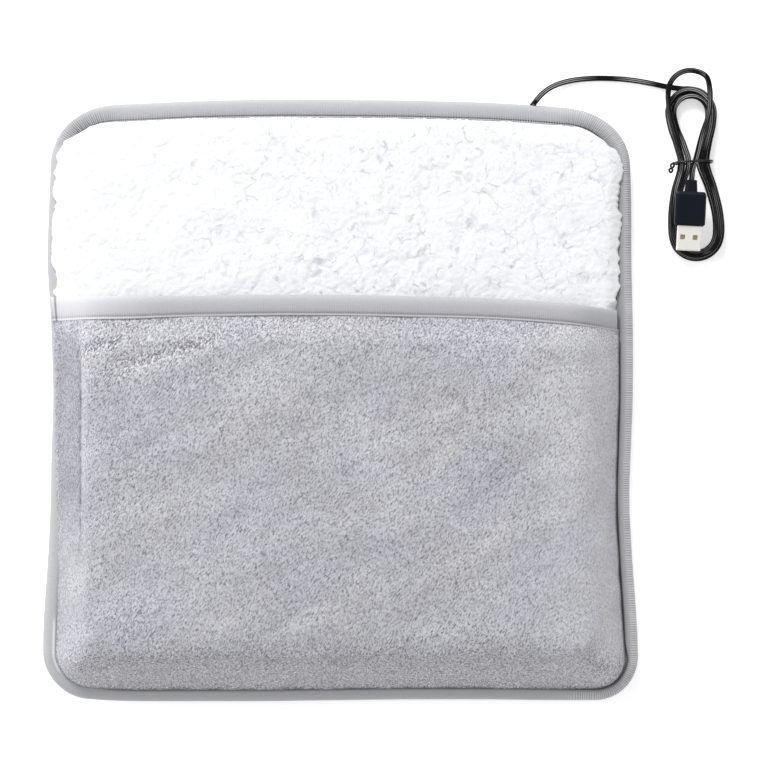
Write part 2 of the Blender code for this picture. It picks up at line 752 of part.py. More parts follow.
# The hank's last strand crosses over the others to the plug
plug_z = layer_three_z + hank_radius + seat_gap + plug_thickness / 2
plug_along = Vector((math.sin(plug_lean), math.cos(plug_lean), 0))
plug_across = Vector((math.cos(plug_lean), -math.sin(plug_lean), 0))
plug_origin = Vector((hank_centre_x - plug_from_centre, hank_waist_y - plug_from_waist, plug_z))
neck_end = plug_origin + plug_along * (plug_length / 2 + neck_length)
waist_over = Vector((*lean(hank_step / 4, hank_waist_y), layer_four_z + tie_lift))
cross_high = Vector((*lean(hank_step * 2.9, hank_waist_y + hank_step * 8), layer_four_z))
cross_low = Vector((*lean(hank_step * 1.5, hank_waist_y + hank_step * 4),
                    layer_four_z + tie_lift * 0.5))
cord_in = neck_end + plug_along * seat_gap
strand = smooth_route([hank_points[-2], hank_points[-1], cross_high, cross_low, waist_over,
                       cord_in + plug_along * hank_diameter, cord_in], hank_diameter * 2)
hank_points = hank_points[:-2] + strand
hank_start = hank_points[0].copy()
tube("lead_hank", hank_points, hank_diameter, black_sheath, 1)


def least_gap(points, diameter):
    # The winding's least gap to itself, along its own fine points
    fine = []
    travelled = [0.0]
    for a, b in zip(points, points[1:]):
        for k in range(4):
            fine.append(a.lerp(b, k / 4))
    for a, b in zip(fine, fine[1:]):
        travelled.append(travelled[-1] + (b - a).length)
    nearest = pad_depth
    for i in range(len(fine)):
        for j in range(i + 1, len(fine)):
            if travelled[j] - travelled[i] > diameter * 4:
                nearest = min(nearest, (fine[i] - fine[j]).length)
    return nearest - diameter


print("hank's least gap to itself, mm:", round(least_gap(hank_points, hank_diameter) / mm, 2))
print("hank's length, m:", round(route_length(hank_points), 3))

# The free stretch of the lead, from the outlet down to the floor and along to the hank
lead_z = lead_floor_gap + lead_diameter / 2
fall_points = [(3.4 * mm, 4.0 * mm, 6.1 * mm), (9.0 * mm, 8.0 * mm, 3.4 * mm), (16.7 * mm, 10.7 * mm, 1.8 * mm)]
floor_points = [(26.7 * mm, 12.0 * mm), (36.8 * mm, 12.1 * mm), (46.9 * mm, 11.4 * mm),
                (57.0 * mm, 9.8 * mm), (65.5 * mm, 8.0 * mm)]
lead_route = [tuple(sleeve_mouth + exit_along * seat_gap)]
for dx, dy, z in fall_points:
    lead_route.append((exit_point.x + dx, exit_point.y + dy, z))
for dx, dy in floor_points:
    lead_route.append((exit_point.x + dx, exit_point.y + dy, lead_z))
lead_route.append((hank_start.x - lead_diameter, hank_start.y, lead_z))
lead_route.append((hank_start.x - seat_gap, hank_start.y, lead_z))
lead_points = smooth_route(lead_route, lead_diameter * 1.8)
tube("lead", lead_points, lead_diameter, black_sheath)
print("lead's free stretch, m:", round(route_length(lead_points), 3))

# The wire tie round the hank's waist, its ends twisted together at the left
tie_radius = tie_diameter / 2
strand_left = hank_waist_half_width - hank_waist_step / 5 + hank_radius
strand_right = hank_waist_half_width + hank_radius
tie_half_x = (strand_left + strand_right) / 2 + seat_gap * 2 + tie_radius
tie_mid_x = (strand_right - strand_left) / 2
tie_low_z = lead_floor_gap + tie_radius
tie_high_z = layer_four_z + tie_lift + hank_radius + seat_gap + tie_radius
tie_mid_z = (tie_low_z + tie_high_z) / 2
tie_half_z = (tie_high_z - tie_low_z) / 2
tie_points = []


def tie_place(dx, dy, z):
    x, y = lean(dx, hank_waist_y + dy)
    return Vector((x, y, z))


tail_steps = 10
tail_twist = math.pi * 2
tail_start_x = tie_mid_x - tie_half_x - tie_twist_radius
for side in (1, -1):
    tail = []
    for step in range(tail_steps + 1):
        share = step / tail_steps
        angle = tail_twist * share + (0 if side == 1 else math.pi) - math.pi / 2
        down = tie_tail_length * share
        out = tie_twist_radius * math.cos(angle)
        tail.append(tie_place(tail_start_x - down * math.cos(tie_tail_slant) - out * math.sin(tie_tail_slant),
                              out * math.cos(tie_tail_slant) - down * math.sin(tie_tail_slant),
                              tie_mid_z + tie_twist_radius * math.sin(angle)))
    if side == 1:
        tie_points += reversed(tail)
        for step in range(1, tie_steps):
            angle = math.pi * (1 + 2 * step / tie_steps)
            power = 2 / 6 if math.sin(angle) < 0 else 2 / 3
            dx = math.copysign(abs(math.cos(angle)) ** (2 / 6), math.cos(angle))
            dz = math.copysign(abs(math.sin(angle)) ** power, math.sin(angle))
            tie_points.append(tie_place(tie_mid_x + tie_half_x * dx, 0, tie_mid_z + tie_half_z * dz))
    else:
        tie_points += tail
tube("hank_tie", tie_points, tie_diameter, black_sheath, 1)


# The plug
def plug_place(across, along, up):
    return plug_origin + plug_across * across + plug_along * along + Vector((0, 0, up))


def plug_section(width, height, along, corner, steps=3):
    outline = rounded_rectangle(width, height, corner, steps)
    return [plug_place(x, along, z) for x, z in outline]


body_back = plug_length / 2
body_front = -plug_length / 2
neck_corner = neck_thickness / 3
body_rings = [
    plug_section(plug_width - plug_round, plug_thickness - plug_round, body_front, plug_round / 2),
    plug_section(plug_width, plug_thickness, body_front + plug_round / 2, plug_round),
    plug_section(plug_width, plug_thickness, body_back - plug_round, plug_round),
    plug_section(plug_width - plug_round, plug_thickness - plug_round, body_back, plug_round / 2),
    plug_section(neck_width, neck_thickness, body_back, neck_corner),
    plug_section(neck_width * 0.94, neck_thickness * 0.94, body_back + neck_length * 0.5, neck_corner),
    plug_section(neck_width * 0.86, neck_thickness * 0.86, body_back + neck_length, neck_corner),
]
vertices, faces = skin_rings(body_rings)
new_object("plug_body", vertices, faces, plug_plastic)

shell_corner = shell_height / 8
shell_back = body_front - seat_gap
shell_front = body_front - shell_length
inner_width = shell_width - 2 * shell_wall
inner_height = shell_height - 2 * shell_wall
shell_rings = [
    plug_section(shell_width, shell_height, shell_back, shell_corner),
    plug_section(shell_width, shell_height, shell_front + shell_wall, shell_corner),
    plug_section(shell_width - shell_wall, shell_height - shell_wall, shell_front, shell_corner),
    plug_section(inner_width, inner_height, shell_front, shell_corner / 2),
    plug_section(inner_width, inner_height, shell_back - shell_wall, shell_corner / 2),
]
vertices, faces = skin_rings(shell_rings)
plug_shell = new_object("plug_shell", vertices, faces, bright_steel)
for side in (1, -1):
    middle = shell_front + shell_length - shell_window_from_body - shell_window
    rings = []
    for up in (-shell_height, shell_height):
        rings.append([plug_place(side * shell_window_spacing / 2 + sx * shell_window / 2,
                                 middle + sy * shell_window / 2, up)
                      for sx, sy in ((1, 1), (-1, 1), (-1, -1), (1, -1))])
    vertices, faces = skin_rings(rings)
    cut(plug_shell, new_object("window_cutter", vertices, faces, bright_steel))

tongue_low = -inner_height / 2 + seat_gap
tongue_back = shell_back - shell_wall - seat_gap
tongue_front = shell_front + shell_wall * 2
tongue_half = inner_width / 2 - seat_gap
rings = []
for along in (tongue_back, tongue_front):
    rings.append([plug_place(x, along, z) for x, z in (
        (tongue_half, tongue_low), (tongue_half, tongue_low + tongue_height),
        (-tongue_half, tongue_low + tongue_height), (-tongue_half, tongue_low))])
vertices, faces = skin_rings(rings)
new_object("plug_tongue", vertices, faces, tongue_plastic)
contact_low = tongue_low + tongue_height + seat_gap / 3
for index in range(contact_count):
    middle = (index - (contact_count - 1) / 2) * contact_pitch
    rings = []
    for along in (tongue_front + shell_wall, tongue_front + shell_wall + contact_length):
        rings.append([plug_place(middle + sx * contact_width / 2, along,
                                 contact_low + sz * contact_thickness)
                      for sx, sz in ((1, 0), (1, 1), (-1, 1), (-1, 0))])
    vertices, faces = skin_rings(rings)
    new_object(f"plug_contact_{index + 1}", vertices, faces, gilt_contact)
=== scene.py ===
# %% [markdown]
# # An electric foot warmer, dressed for its portrait
# The solids come first: a separate script made the pad, its pocket and its lead as plain
# closed bodies at their real size. Here each of them gets the surface that the real thing
# has: curled white pile, brushed plush, ribbed tape and a glossy black lead. Loading the
# frame brings those solids in as objects that never move.

# %% Load the fixed frame
import math

import bpy
import numpy as np
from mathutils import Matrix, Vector, noise


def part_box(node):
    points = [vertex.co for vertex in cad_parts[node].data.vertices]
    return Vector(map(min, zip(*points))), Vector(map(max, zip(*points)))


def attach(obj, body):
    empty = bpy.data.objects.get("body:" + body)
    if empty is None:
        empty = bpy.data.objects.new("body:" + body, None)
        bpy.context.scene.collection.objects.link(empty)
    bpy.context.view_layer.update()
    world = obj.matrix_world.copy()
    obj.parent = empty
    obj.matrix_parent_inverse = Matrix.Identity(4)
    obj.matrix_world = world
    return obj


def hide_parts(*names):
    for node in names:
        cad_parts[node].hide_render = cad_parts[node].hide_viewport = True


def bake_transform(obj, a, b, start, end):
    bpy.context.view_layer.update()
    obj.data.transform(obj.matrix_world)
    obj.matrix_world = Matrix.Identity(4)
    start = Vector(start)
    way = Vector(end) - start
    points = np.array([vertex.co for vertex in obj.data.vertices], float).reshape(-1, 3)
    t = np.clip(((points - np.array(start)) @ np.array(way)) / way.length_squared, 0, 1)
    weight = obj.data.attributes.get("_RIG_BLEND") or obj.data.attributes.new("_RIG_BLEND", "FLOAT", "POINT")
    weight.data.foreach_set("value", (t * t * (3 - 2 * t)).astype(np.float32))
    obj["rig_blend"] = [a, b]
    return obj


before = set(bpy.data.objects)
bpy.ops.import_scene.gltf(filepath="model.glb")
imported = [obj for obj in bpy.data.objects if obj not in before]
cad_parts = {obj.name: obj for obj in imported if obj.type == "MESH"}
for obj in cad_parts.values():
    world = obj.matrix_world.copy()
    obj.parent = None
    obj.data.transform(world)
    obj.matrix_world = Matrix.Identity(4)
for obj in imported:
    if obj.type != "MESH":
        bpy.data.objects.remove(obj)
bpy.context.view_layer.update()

mm = 0.001

# %% [markdown]
# ## Where the eye stands
# The photograph looks almost straight down from far away: neither the near nor the far edge
# of the pad is drawn in. A long lens at three metres gives that. Its aim is a little right
# of the pad, so that the hanked lead fits in beside it.

# %% The camera
view_elevation = math.radians(87)
view_distance = 3000 * mm
view_width = 386 * mm
view_depth = 20000 * mm
sensor_width = 36
aim = Vector((21.4, 8.2, 8)) * mm
camera_data = bpy.data.cameras.new("portrait_camera")
camera_data.sensor_width = sensor_width
camera_data.lens = sensor_width * view_distance / view_width
camera_data.clip_end = view_depth
camera = bpy.data.objects.new("portrait_camera", camera_data)
bpy.context.scene.collection.objects.link(camera)
camera.location = aim + view_distance * Vector((0, -math.cos(view_elevation), math.sin(view_elevation)))
camera.rotation_euler = (math.pi / 2 - view_elevation, 0, 0)
bpy.context.scene.camera = camera
print("lens, mm:", round(camera_data.lens, 1))

# %% [markdown]
# ## Light and floor
# The photograph was taken in a white tent: light from everywhere, and a little more from
# the top and the left, which leaves the lower and right-hand seams darker. A white world
# gives the first, and two soft panels the second. The colours are kept as they are, without
# a film curve, because the picture is nearly white all over.

# %% The studio
scene = bpy.context.scene
scene.view_settings.view_transform = "Standard"
tent_strength = 0.60
floor_glow = 0.42
floor_half = 4000 * mm
panels = {"upper_panel": {"place": (-0.5, 1.7, 1.4), "size": 0.8, "power": 40},
          "left_panel": {"place": (-1.8, 0.1, 0.9), "size": 0.5, "power": 11}}
world = bpy.data.worlds.new("white_tent")
scene.world = world
world.use_nodes = True
tent = world.node_tree.nodes["Background"]
tent.inputs["Color"].default_value = (1.0, 1.0, 1.0, 1.0)
tent.inputs["Strength"].default_value = tent_strength
for name, panel in panels.items():
    data = bpy.data.lights.new(name, "AREA")
    data.shape = "SQUARE"
    data.size = panel["size"]
    data.energy = panel["power"]
    light = bpy.data.objects.new(name, data)
    scene.collection.objects.link(light)
    light.location = panel["place"]
    light.rotation_euler = (-Vector(panel["place"])).to_track_quat("-Z", "Y").to_euler()

floor_mesh = bpy.data.meshes.new("floor")
floor_corners = [(sx * floor_half, sy * floor_half, 0) for sx, sy in ((-1, -1), (1, -1), (1, 1), (-1, 1))]
floor_mesh.from_pydata(floor_corners, [], [(0, 1, 2, 3)])
floor = bpy.data.objects.new("floor", floor_mesh)
scene.collection.objects.link(floor)
floor_material = bpy.data.materials.new("pale_floor")
floor_material.use_nodes = True
floor_sockets = floor_material.node_tree.nodes["Principled BSDF"].inputs
for label, value in (("Base Color", (1.0, 1.0, 1.0, 1)), ("Roughness", 0.9), ("Specular IOR Level", 0.1),
                     ("Emission Color", (1.0, 1.0, 1.0, 1)), ("Emission Strength", floor_glow)):
    floor_sockets[label].default_value = value
floor_mesh.materials.append(floor_material)
print("panels:", len(panels), "floor, m:", 2 * floor_half)

# %% [markdown]
# ## Small helpers
# Most pieces here are grids of points worked out with numpy, because a pile, a ribbed tape
# and a quilted front are all height fields over a plan. One helper closes a pair of grids
# into a solid sheet, and another skins rings of points, as a lead or a folded tape needs.

# %% Meshes from grids
def in_mm(*values):
    return np.array(values) * mm


def link_mesh(name, vertices, faces):
    mesh = bpy.data.meshes.new(name)
    mesh.from_pydata(vertices, [], faces)
    mesh.update()
    obj = bpy.data.objects.new(name, mesh)
    scene.collection.objects.link(obj)
    mesh.shade_smooth()
    return obj


def grid_faces(rows, cols, offset=0, flip=False, wrap_rows=False, wrap_cols=False):
    r = np.arange(rows if wrap_rows else rows - 1)[:, None]
    c = np.arange(cols if wrap_cols else cols - 1)[None, :]
    a = r * cols + c
    b = r * cols + (c + 1) % cols
    d = ((r + 1) % rows) * cols + c
    e = ((r + 1) % rows) * cols + (c + 1) % cols
    corners = (a, d, e, b) if flip else (a, b, e, d)
    quads = np.stack([np.broadcast_to(k, a.shape).ravel() for k in corners], 1) + offset
    return [tuple(quad) for quad in quads]


def rim_loop(rows, cols):
    # The indices round the border of a grid
    top = list(range(cols))
    right = [r * cols + cols - 1 for r in range(1, rows)]
    bottom = [(rows - 1) * cols + c for c in range(cols - 2, -1, -1)]
    left = [r * cols for r in range(rows - 2, 0, -1)]
    return top + right + bottom + left


def mark_points(obj, mark, values):
    attribute = obj.data.attributes.new(mark, "FLOAT", "POINT")
    attribute.data.foreach_set("value", np.ascontiguousarray(values, np.float32).ravel())


def closed_sheet(name, over, under, marks=None):
    # Two grids of the same shape, skinned and joined round their border
    rows, cols = over.shape[:2]
    count = rows * cols
    faces = grid_faces(rows, cols) + grid_faces(rows, cols, count, flip=True)
    rim = rim_loop(rows, cols)
    for a, b in zip(rim, rim[1:] + rim[:1]):
        faces.append((b, a, a + count, b + count))
    points = np.concatenate([over.reshape(-1, 3), under.reshape(-1, 3)])
    obj = link_mesh(name, points.tolist(), faces)
    for mark, values in (marks or {}).items():
        mark_points(obj, mark, np.concatenate([values.ravel(), values.ravel()]))
    return obj


def skinned_rings(name, rings, flip=False, closed=False):
    # Rings skinned one to the next; the run closes on itself, or is capped at both ends
    rings = np.array(rings, float)
    count, size = rings.shape[:2]
    faces = grid_faces(count, size, flip=flip, wrap_rows=closed, wrap_cols=True)
    if not closed:
        first = tuple(range(size))
        last = tuple(range((count - 1) * size, count * size))
        faces += [first, last[::-1]] if flip else [first[::-1], last]
    return link_mesh(name, rings.reshape(-1, 3).tolist(), faces)


def grid_normals(points):
    across = np.gradient(points, axis=1)
    down = np.gradient(points, axis=0)
    normal = np.cross(across, down)
    return normal / np.maximum(np.linalg.norm(normal, axis=2, keepdims=True), 1e-12)


print("a grid of 3 by 4 has", len(grid_faces(3, 4)), "faces and a rim of", len(rim_loop(3, 4)))

# %% [markdown]
# Nearly everything fades in or out over some distance. An ease does that without a kink at
# either end, and a table of places and values is read with its corners rounded.

# %% Eases and tables
def ease(value):
    # 0 below 0, 1 above 1, and a smooth turn between
    value = np.clip(value, 0.0, 1.0)
    return value * value * (3 - 2 * value)


def ease_past(value, start, reach):
    # Eases from 0 at the start to 1 a reach further on; a negative reach looks back
    return ease((value - start) / reach)


def fade(value, start, reach):
    # The same for a place and a reach in millimetres
    return ease_past(value / mm, start, reach)


def smooth_table(at, places, values):
    # A table read with rounded steps: the mean of nearby readings
    spread = 6 * mm
    return sum(np.interp(at + k * spread, places, values) for k in (-1.5, -0.75, 0, 0.75, 1.5)) / 5


print("ease at a quarter:", round(float(ease(0.25)), 3))

# %% [markdown]
# ## The pad's plan
# The pad is a hand-sewn square: narrower along its open edge than along the toes, with
# the open edge a little bowed and the right side drawn in. One function gives the plan of
# the clean outline, and another bends every sewn piece alike, so that they still meet.
# The tables say how far each side stands out, going up the pad, and how far the open edge
# is drawn down and the toe edge pushed up, going across it.

# %% The outline's measures
pad_low, pad_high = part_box("edge_binding")
pad_depth = pad_high.y - pad_low.y
toe_width = pad_high.x - pad_low.x
open_width = 290 * mm
toe_corner = 22 * mm
open_corner = 32 * mm
half_depth = pad_depth / 2
half_toe = toe_width / 2
half_open = open_width / 2
side_rows = in_mm(-151, -130, -120, -100, -80, -50, -30, 0, 30, 45, 70, 100, 121, 151)
left_out = in_mm(-0.8, -0.4, 0.0, -0.6, -1.6, -2.3, -2.0, -2.5, -1.0, -0.1, 2.2, 1.9, 1.5, 1.2)
right_out = in_mm(-1.0, -1.1, -1.0, -1.7, -2.8, -3.7, -2.6, -0.8, -0.1, 0.0, -0.1, 0.6, 0.4, 0.4)
open_columns = in_mm(-150, -137, -123, -112, -70, -30, 30, 70, 95, 114, 124, 134, 150)
open_down = in_mm(0.3, 1.1, 2.2, 1.7, -0.3, -1.0, -0.5, 0.5, 1.9, 3.6, 4.2, 3.5, 1.5)
toe_columns = in_mm(-150, -140, -128, -108, -40, 0, 30, 75, 105, 150)
toe_up = in_mm(3.0, 2.4, 1.0, 0.0, 0.0, 0.5, 0.9, 0.9, 0.5, 0.5)
open_from = 85 * mm
open_fade = 60 * mm
toe_from = -95 * mm
toe_fade = 50 * mm
least_corner = 2 * mm
corner_steps = 24


print("pad, mm:", round(toe_width / mm), "by", round(pad_depth / mm))

# %% [markdown]
# The clean outline is a square that narrows towards the open edge, with two kinds of corner.
# Whatever is sewn to it passes through the same wander.

# %% The outline's functions
def side_reach(y):
    # Half the pad's width at a height, before its corners are rounded
    return half_toe - (half_toe - half_open) * (y + half_depth) / pad_depth


def half_width(y, inset):
    # The same with rounded corners, inset from the outline by one or many amounts
    y, inset = np.broadcast_arrays(np.asarray(y, float), np.asarray(inset, float))
    result = side_reach(y) - inset
    for end, corner in ((1, open_corner), (-1, toe_corner)):
        radius = np.maximum(corner - inset, least_corner)
        past = np.clip(end * y - (half_depth - inset - radius), 0, radius)
        result = result - (radius - np.sqrt(np.maximum(radius ** 2 - past ** 2, 0)))
    return result


def hand_sewn(x, y):
    # The wander of a pad that was sewn by hand
    reach = np.clip(np.abs(x) / half_open, 0, 1.1) ** 3
    left = -smooth_table(y, side_rows, left_out)
    right = smooth_table(y, side_rows, right_out)
    down = smooth_table(x, open_columns, open_down) * ease_past(y, open_from, open_fade)
    up = smooth_table(x, toe_columns, toe_up) * ease_past(y, toe_from, -toe_fade)
    return x + np.where(x > 0, right, left) * reach, y - down + up


def bend_plan(points):
    x, y = hand_sewn(points[..., 0], points[..., 1])
    return np.stack([x, y, points[..., 2]], -1)


def outline_points(step):
    # The clean outline at an even step: place, inward direction and run along it
    corners = [(-1, -1, toe_corner, 180), (1, -1, toe_corner, 270), (1, 1, open_corner, 0),
               (-1, 1, open_corner, 90)]
    places = []
    for sx, sy, radius, start in corners:
        half = half_toe if sy < 0 else half_open
        cx, cy = sx * (half - radius), sy * (half_depth - radius)
        for k in range(corner_steps + 1):
            angle = math.radians(start + 90 * k / corner_steps)
            places.append((cx + radius * math.cos(angle), cy + radius * math.sin(angle)))
    places = np.array(places + places[:1])
    runs = np.concatenate([[0], np.cumsum(np.linalg.norm(np.diff(places, axis=0), axis=1))])
    count = int(round(runs[-1] / step))
    along = np.arange(count) * runs[-1] / count
    xy = np.stack([np.interp(along, runs, places[:, k]) for k in (0, 1)], 1)
    forward = np.roll(xy, -2, 0) - np.roll(xy, 2, 0)
    forward /= np.linalg.norm(forward, axis=1, keepdims=True)
    inward = np.stack([-forward[:, 1], forward[:, 0]], 1)
    return xy, inward, along


print("half the pad's width at its middle, mm:", round(float(half_width(0, 0)) / mm, 1))

# %% [markdown]
# ## Noise that a pile follows
# Blender's noise functions give the same value for the same place every time. Curled pile
# gathers in clumps with creases between them: cell noise has just that, once its cells are
# pushed about by a slower noise so that no two are alike.

# %% Noise fields
clump_size = 15 * mm
curl_size = 5.6 * mm
swirl_size = 3.1 * mm
fuzz_size = 1.7 * mm
swell_size = 22 * mm
parting_size = 9 * mm
pushes = ((6 * mm, 13 * mm, 0, 7), (2.2 * mm, 4.2 * mm, 3, 9))
pile_rise = 0.3 * mm
clump_rise = 0.38 * mm
curl_rise = 0.2 * mm
swirl_rise = 0.16 * mm
fuzz_rise = 0.09 * mm
swell_rise = 0.5 * mm


def noise_field(x, y, size, seed):
    flat = [noise.noise(Vector((a / size, b / size, seed))) for a, b in zip(x.ravel(), y.ravel())]
    return np.array(flat).reshape(x.shape)


def line_noise(runs, size, seed, depth=0.5):
    return np.array([noise.noise(Vector((run / size, seed, depth))) for run in runs])


def cell_gap(x, y, size, seed):
    # 0 on the border between two cells, growing towards their middles
    out = []
    for a, b in zip(x.ravel(), y.ravel()):
        near = noise.voronoi(Vector((a / size, b / size, seed)))[0]
        out.append(near[1] - near[0])
    return np.array(out).reshape(x.shape)


def curled_pile(x, y, seed):
    # Height in metres of the clumped pile, and its crease depth from 0 to 1, later used for painted shade
    wx, wy = x, y
    for push, size, shift_x, shift_y in pushes:
        wx = wx + push * noise_field(x, y, size, seed + shift_x)
        wy = wy + push * noise_field(x, y, size, seed + shift_y)
    clump = cell_gap(wx, wy, clump_size, seed)
    curl = cell_gap(wx, wy, curl_size, seed + 20)
    swirl = noise_field(wx, wy, swirl_size, seed + 27)
    fuzz = noise_field(x, y, fuzz_size, seed + 31)
    swell = noise_field(x, y, swell_size, seed + 41)
    parted = np.clip(0.45 + 1.5 * noise_field(x, y, parting_size, seed + 53), 0, 1)
    height = clump_rise * (1 - parted * np.exp(-9 * clump)) + curl_rise * (1 - np.exp(-5 * curl))
    height += swirl_rise * swirl + fuzz_rise * fuzz + swell_rise * swell + pile_rise
    crease_shade = parted * np.exp(-22 * clump) + 0.35 * parted * np.exp(-16 * curl)
    return height, np.clip(crease_shade, 0, 1)


sample_height, _ = curled_pile(np.zeros((1, 1)), np.zeros((1, 1)), 11.0)
print("pile at the pad's middle, mm:", round(float(sample_height[0, 0]) / mm, 2))

# %% [markdown]
# ## The lead, hanked and tied
# A foot warmer's lead is a thin twin: two cores side by side in one figure-of-eight sheath,
# 2.8 mm across. It comes out of the sleeve at the open edge, drops to the floor in a few
# centimetres and runs to the hank. The hank is one stretch wound four times: in towards its
# middle on the floor, out again above that and once round on top, and its last strand
# crosses over to the plug.

# %% The route's measures
lead_width = 2.8 * mm
core_width = 1.95 * mm
floor_gap = 0.1 * mm
strand_air = 0.3 * mm
exit_turn = math.radians(50)
exit_along = Vector((math.cos(exit_turn), math.sin(exit_turn), 0))
sleeve_mouth = Vector((98 * mm, half_depth, 7.4 * mm)) + 0.6 * mm * exit_along
hank_turns = 4
first_turn = -0.25
last_turn = hank_turns - 0.17
samples_per_turn = 24
inward_turns = (-0.25, 1.25, 1.5, 2.75, 3.1, 3.4, 3.75, 4.0)
inward_steps = (-0.25, 1.2, 1.2, 0.0, 0.55, 0.55, 0.15, 0.15)
layer_climbs = ((1.2, 0.35), (2.7, 0.25), (3.75, 0.09))
hank_width = 2.7 * mm
hank_centre_x = 177 * mm
hank_waist_y = 120 * mm
hank_top_y = 157 * mm
hank_bottom_y = 71 * mm
hank_big_top_y = 167 * mm
lobe_half = 13.4 * mm
top_half = 11.8 * mm
waist_half = 7.3 * mm
hank_step = 3.25 * mm
waist_step = 4.3 * mm
layer_step = 3.35 * mm
layer_count = 4
hank_lean = math.radians(2.5)
tie_width = 1.1 * mm
tie_lift = tie_width + strand_air
tie_reach = 22 * mm
run_share = 0.11
route_step = 1.3 * mm
layer_z = [floor_gap + hank_width / 2 + k * layer_step for k in range(layer_count)]
plug_lean = math.radians(3)
plug_along = Vector((math.sin(plug_lean), math.cos(plug_lean), 0))
plug_middle = Vector((175.2 * mm, 96 * mm, layer_z[2] + hank_width / 2 + 4.3 * mm))
neck_end = plug_middle + 14.5 * mm * plug_along


print("hank's layers, mm:", [round(z / mm, 1) for z in layer_z])

# %% [markdown]
# The winding is worked out turn by turn. Each run passes the waist and each loop is half a
# circle; the steps inwards and the climbs to the next layer are spread over part of a turn.

# %% The winding
def in_hank(dx, dy, z):
    # A place given from the middle of the hank's waist, along and across the leaning hank
    return Vector((hank_centre_x + dx * math.cos(hank_lean) - dy * math.sin(hank_lean),
                   hank_waist_y + dy * math.cos(hank_lean) + dx * math.sin(hank_lean), z))


def hank_place(turn):
    # One point of the winding: turn 0 is the right run's waist, and it goes clockwise
    step = np.interp(turn, inward_turns, inward_steps)
    z = layer_z[0] + layer_step * sum(ease_past(turn, start, span) for start, span in layer_climbs)
    part = turn % 1.0
    upper = part > 0.5
    top_y = hank_big_top_y if turn > hank_turns - 0.5 else hank_top_y
    half_span = top_half if upper else lobe_half
    out = 1 if upper else -1
    radius = half_span - step * hank_step
    centre_y = (top_y if upper else hank_bottom_y) - out * half_span
    spread = min(abs(centre_y - hank_waist_y), abs(hank_top_y - half_span - hank_waist_y))
    local = part - 0.5 if upper else part
    if run_share <= local <= 0.5 - run_share:
        angle = math.pi * (local - run_share) / (0.5 - 2 * run_share)
        x, y = -out * radius * math.cos(angle), centre_y + out * radius * math.sin(angle)
    else:
        early = local < run_share
        y = hank_waist_y + (centre_y - hank_waist_y) * (local if early else 0.5 - local) / run_share
        narrow = waist_half - step * waist_step
        reach = narrow + (radius - narrow) * ease(abs(y - hank_waist_y) / spread)
        x = -out * reach if early else out * reach
    lift = tie_lift * ease(1 - abs(y - hank_waist_y) / tie_reach)
    return in_hank(x, y - hank_waist_y, z + lift)


def smooth_route(points, step, detail=24):
    # A centripetal spline through given points, read at an even step
    pts = [Vector(p) for p in points]
    pts = [pts[0] * 2 - pts[1]] + pts + [pts[-1] * 2 - pts[-2]]
    fine = []
    for p0, p1, p2, p3 in zip(pts, pts[1:], pts[2:], pts[3:]):
        t1 = math.sqrt((p1 - p0).length)
        t2 = t1 + math.sqrt((p2 - p1).length)
        t3 = t2 + math.sqrt((p3 - p2).length)
        for i in range(detail):
            t = t1 + (t2 - t1) * i / detail
            a1 = p0.lerp(p1, t / t1)
            a2 = p1.lerp(p2, (t - t1) / (t2 - t1))
            a3 = p2.lerp(p3, (t - t2) / (t3 - t2))
            b1 = a1.lerp(a2, t / t2)
            b2 = a2.lerp(a3, (t - t1) / (t3 - t1))
            fine.append(b1.lerp(b2, (t - t1) / (t2 - t1)))
    fine = np.array([tuple(p) for p in fine + [pts[-2]]])
    runs = np.concatenate([[0], np.cumsum(np.linalg.norm(np.diff(fine, axis=0), axis=1))])
    places = np.linspace(0, runs[-1], max(2, round(runs[-1] / step)) + 1)
    return [Vector([np.interp(s, runs, fine[:, k]) for k in range(3)]) for s in places]


top_of_first_loop = hank_place(0.75)
print("first loop's top, mm:", [round(v / mm, 1) for v in top_of_first_loop])

# %% [markdown]
# The whole route is one spline: out of the sleeve, down to the floor, round the hank, and
# over it into the plug's neck. Its length is worked out and printed.

# %% The route
samples = round((last_turn - first_turn) * samples_per_turn)
winding = [hank_place(first_turn + (last_turn - first_turn) * i / samples) for i in range(samples + 1)]
crossing = [winding[-2], winding[-1],
            in_hank(hank_step * 2.9, hank_step * 8, layer_z[3]),
            in_hank(hank_step * 1.5, hank_step * 4, layer_z[3] + tie_lift / 2),
            in_hank(hank_step / 4, 0, layer_z[3] + tie_lift),
            neck_end + plug_along * (hank_width + strand_air), neck_end - plug_along * 0.8 * mm]
winding = winding[:-2] + smooth_route(crossing, hank_width * 2)
lead_z = floor_gap + lead_width / 2
dropping = in_mm([101.4, 155.0, 6.1], [107.0, 159.0, 3.4], [114.7, 161.7, 1.8])
on_floor = [(*place, lead_z) for place in in_mm(
    [124.7, 163.0], [134.8, 163.1], [144.9, 162.4], [155.0, 160.8], [163.5, 159.0])]
free_stretch = [sleeve_mouth - exit_along * 6 * mm, *dropping, *on_floor,
                (winding[0].x - lead_width, winding[0].y, lead_z)]
cord_path = smooth_route(free_stretch + winding, route_step)
cord_length = sum((b - a).length for a, b in zip(cord_path, cord_path[1:]))
bends = []
for back, here, ahead in zip(cord_path, cord_path[3:], cord_path[6:]):
    turned = (here - back).angle(ahead - here)
    bends.append(((ahead - back).length / 2 / max(math.sin(turned), 1e-6), here))
tightest, tight_place = min(bends, key=lambda bend: bend[0])
print("lead, m:", round(cord_length, 3), "points:", len(cord_path))
print("tightest bend, mm:", round(tightest / mm, 1), "at", [round(v / mm) for v in tight_place])
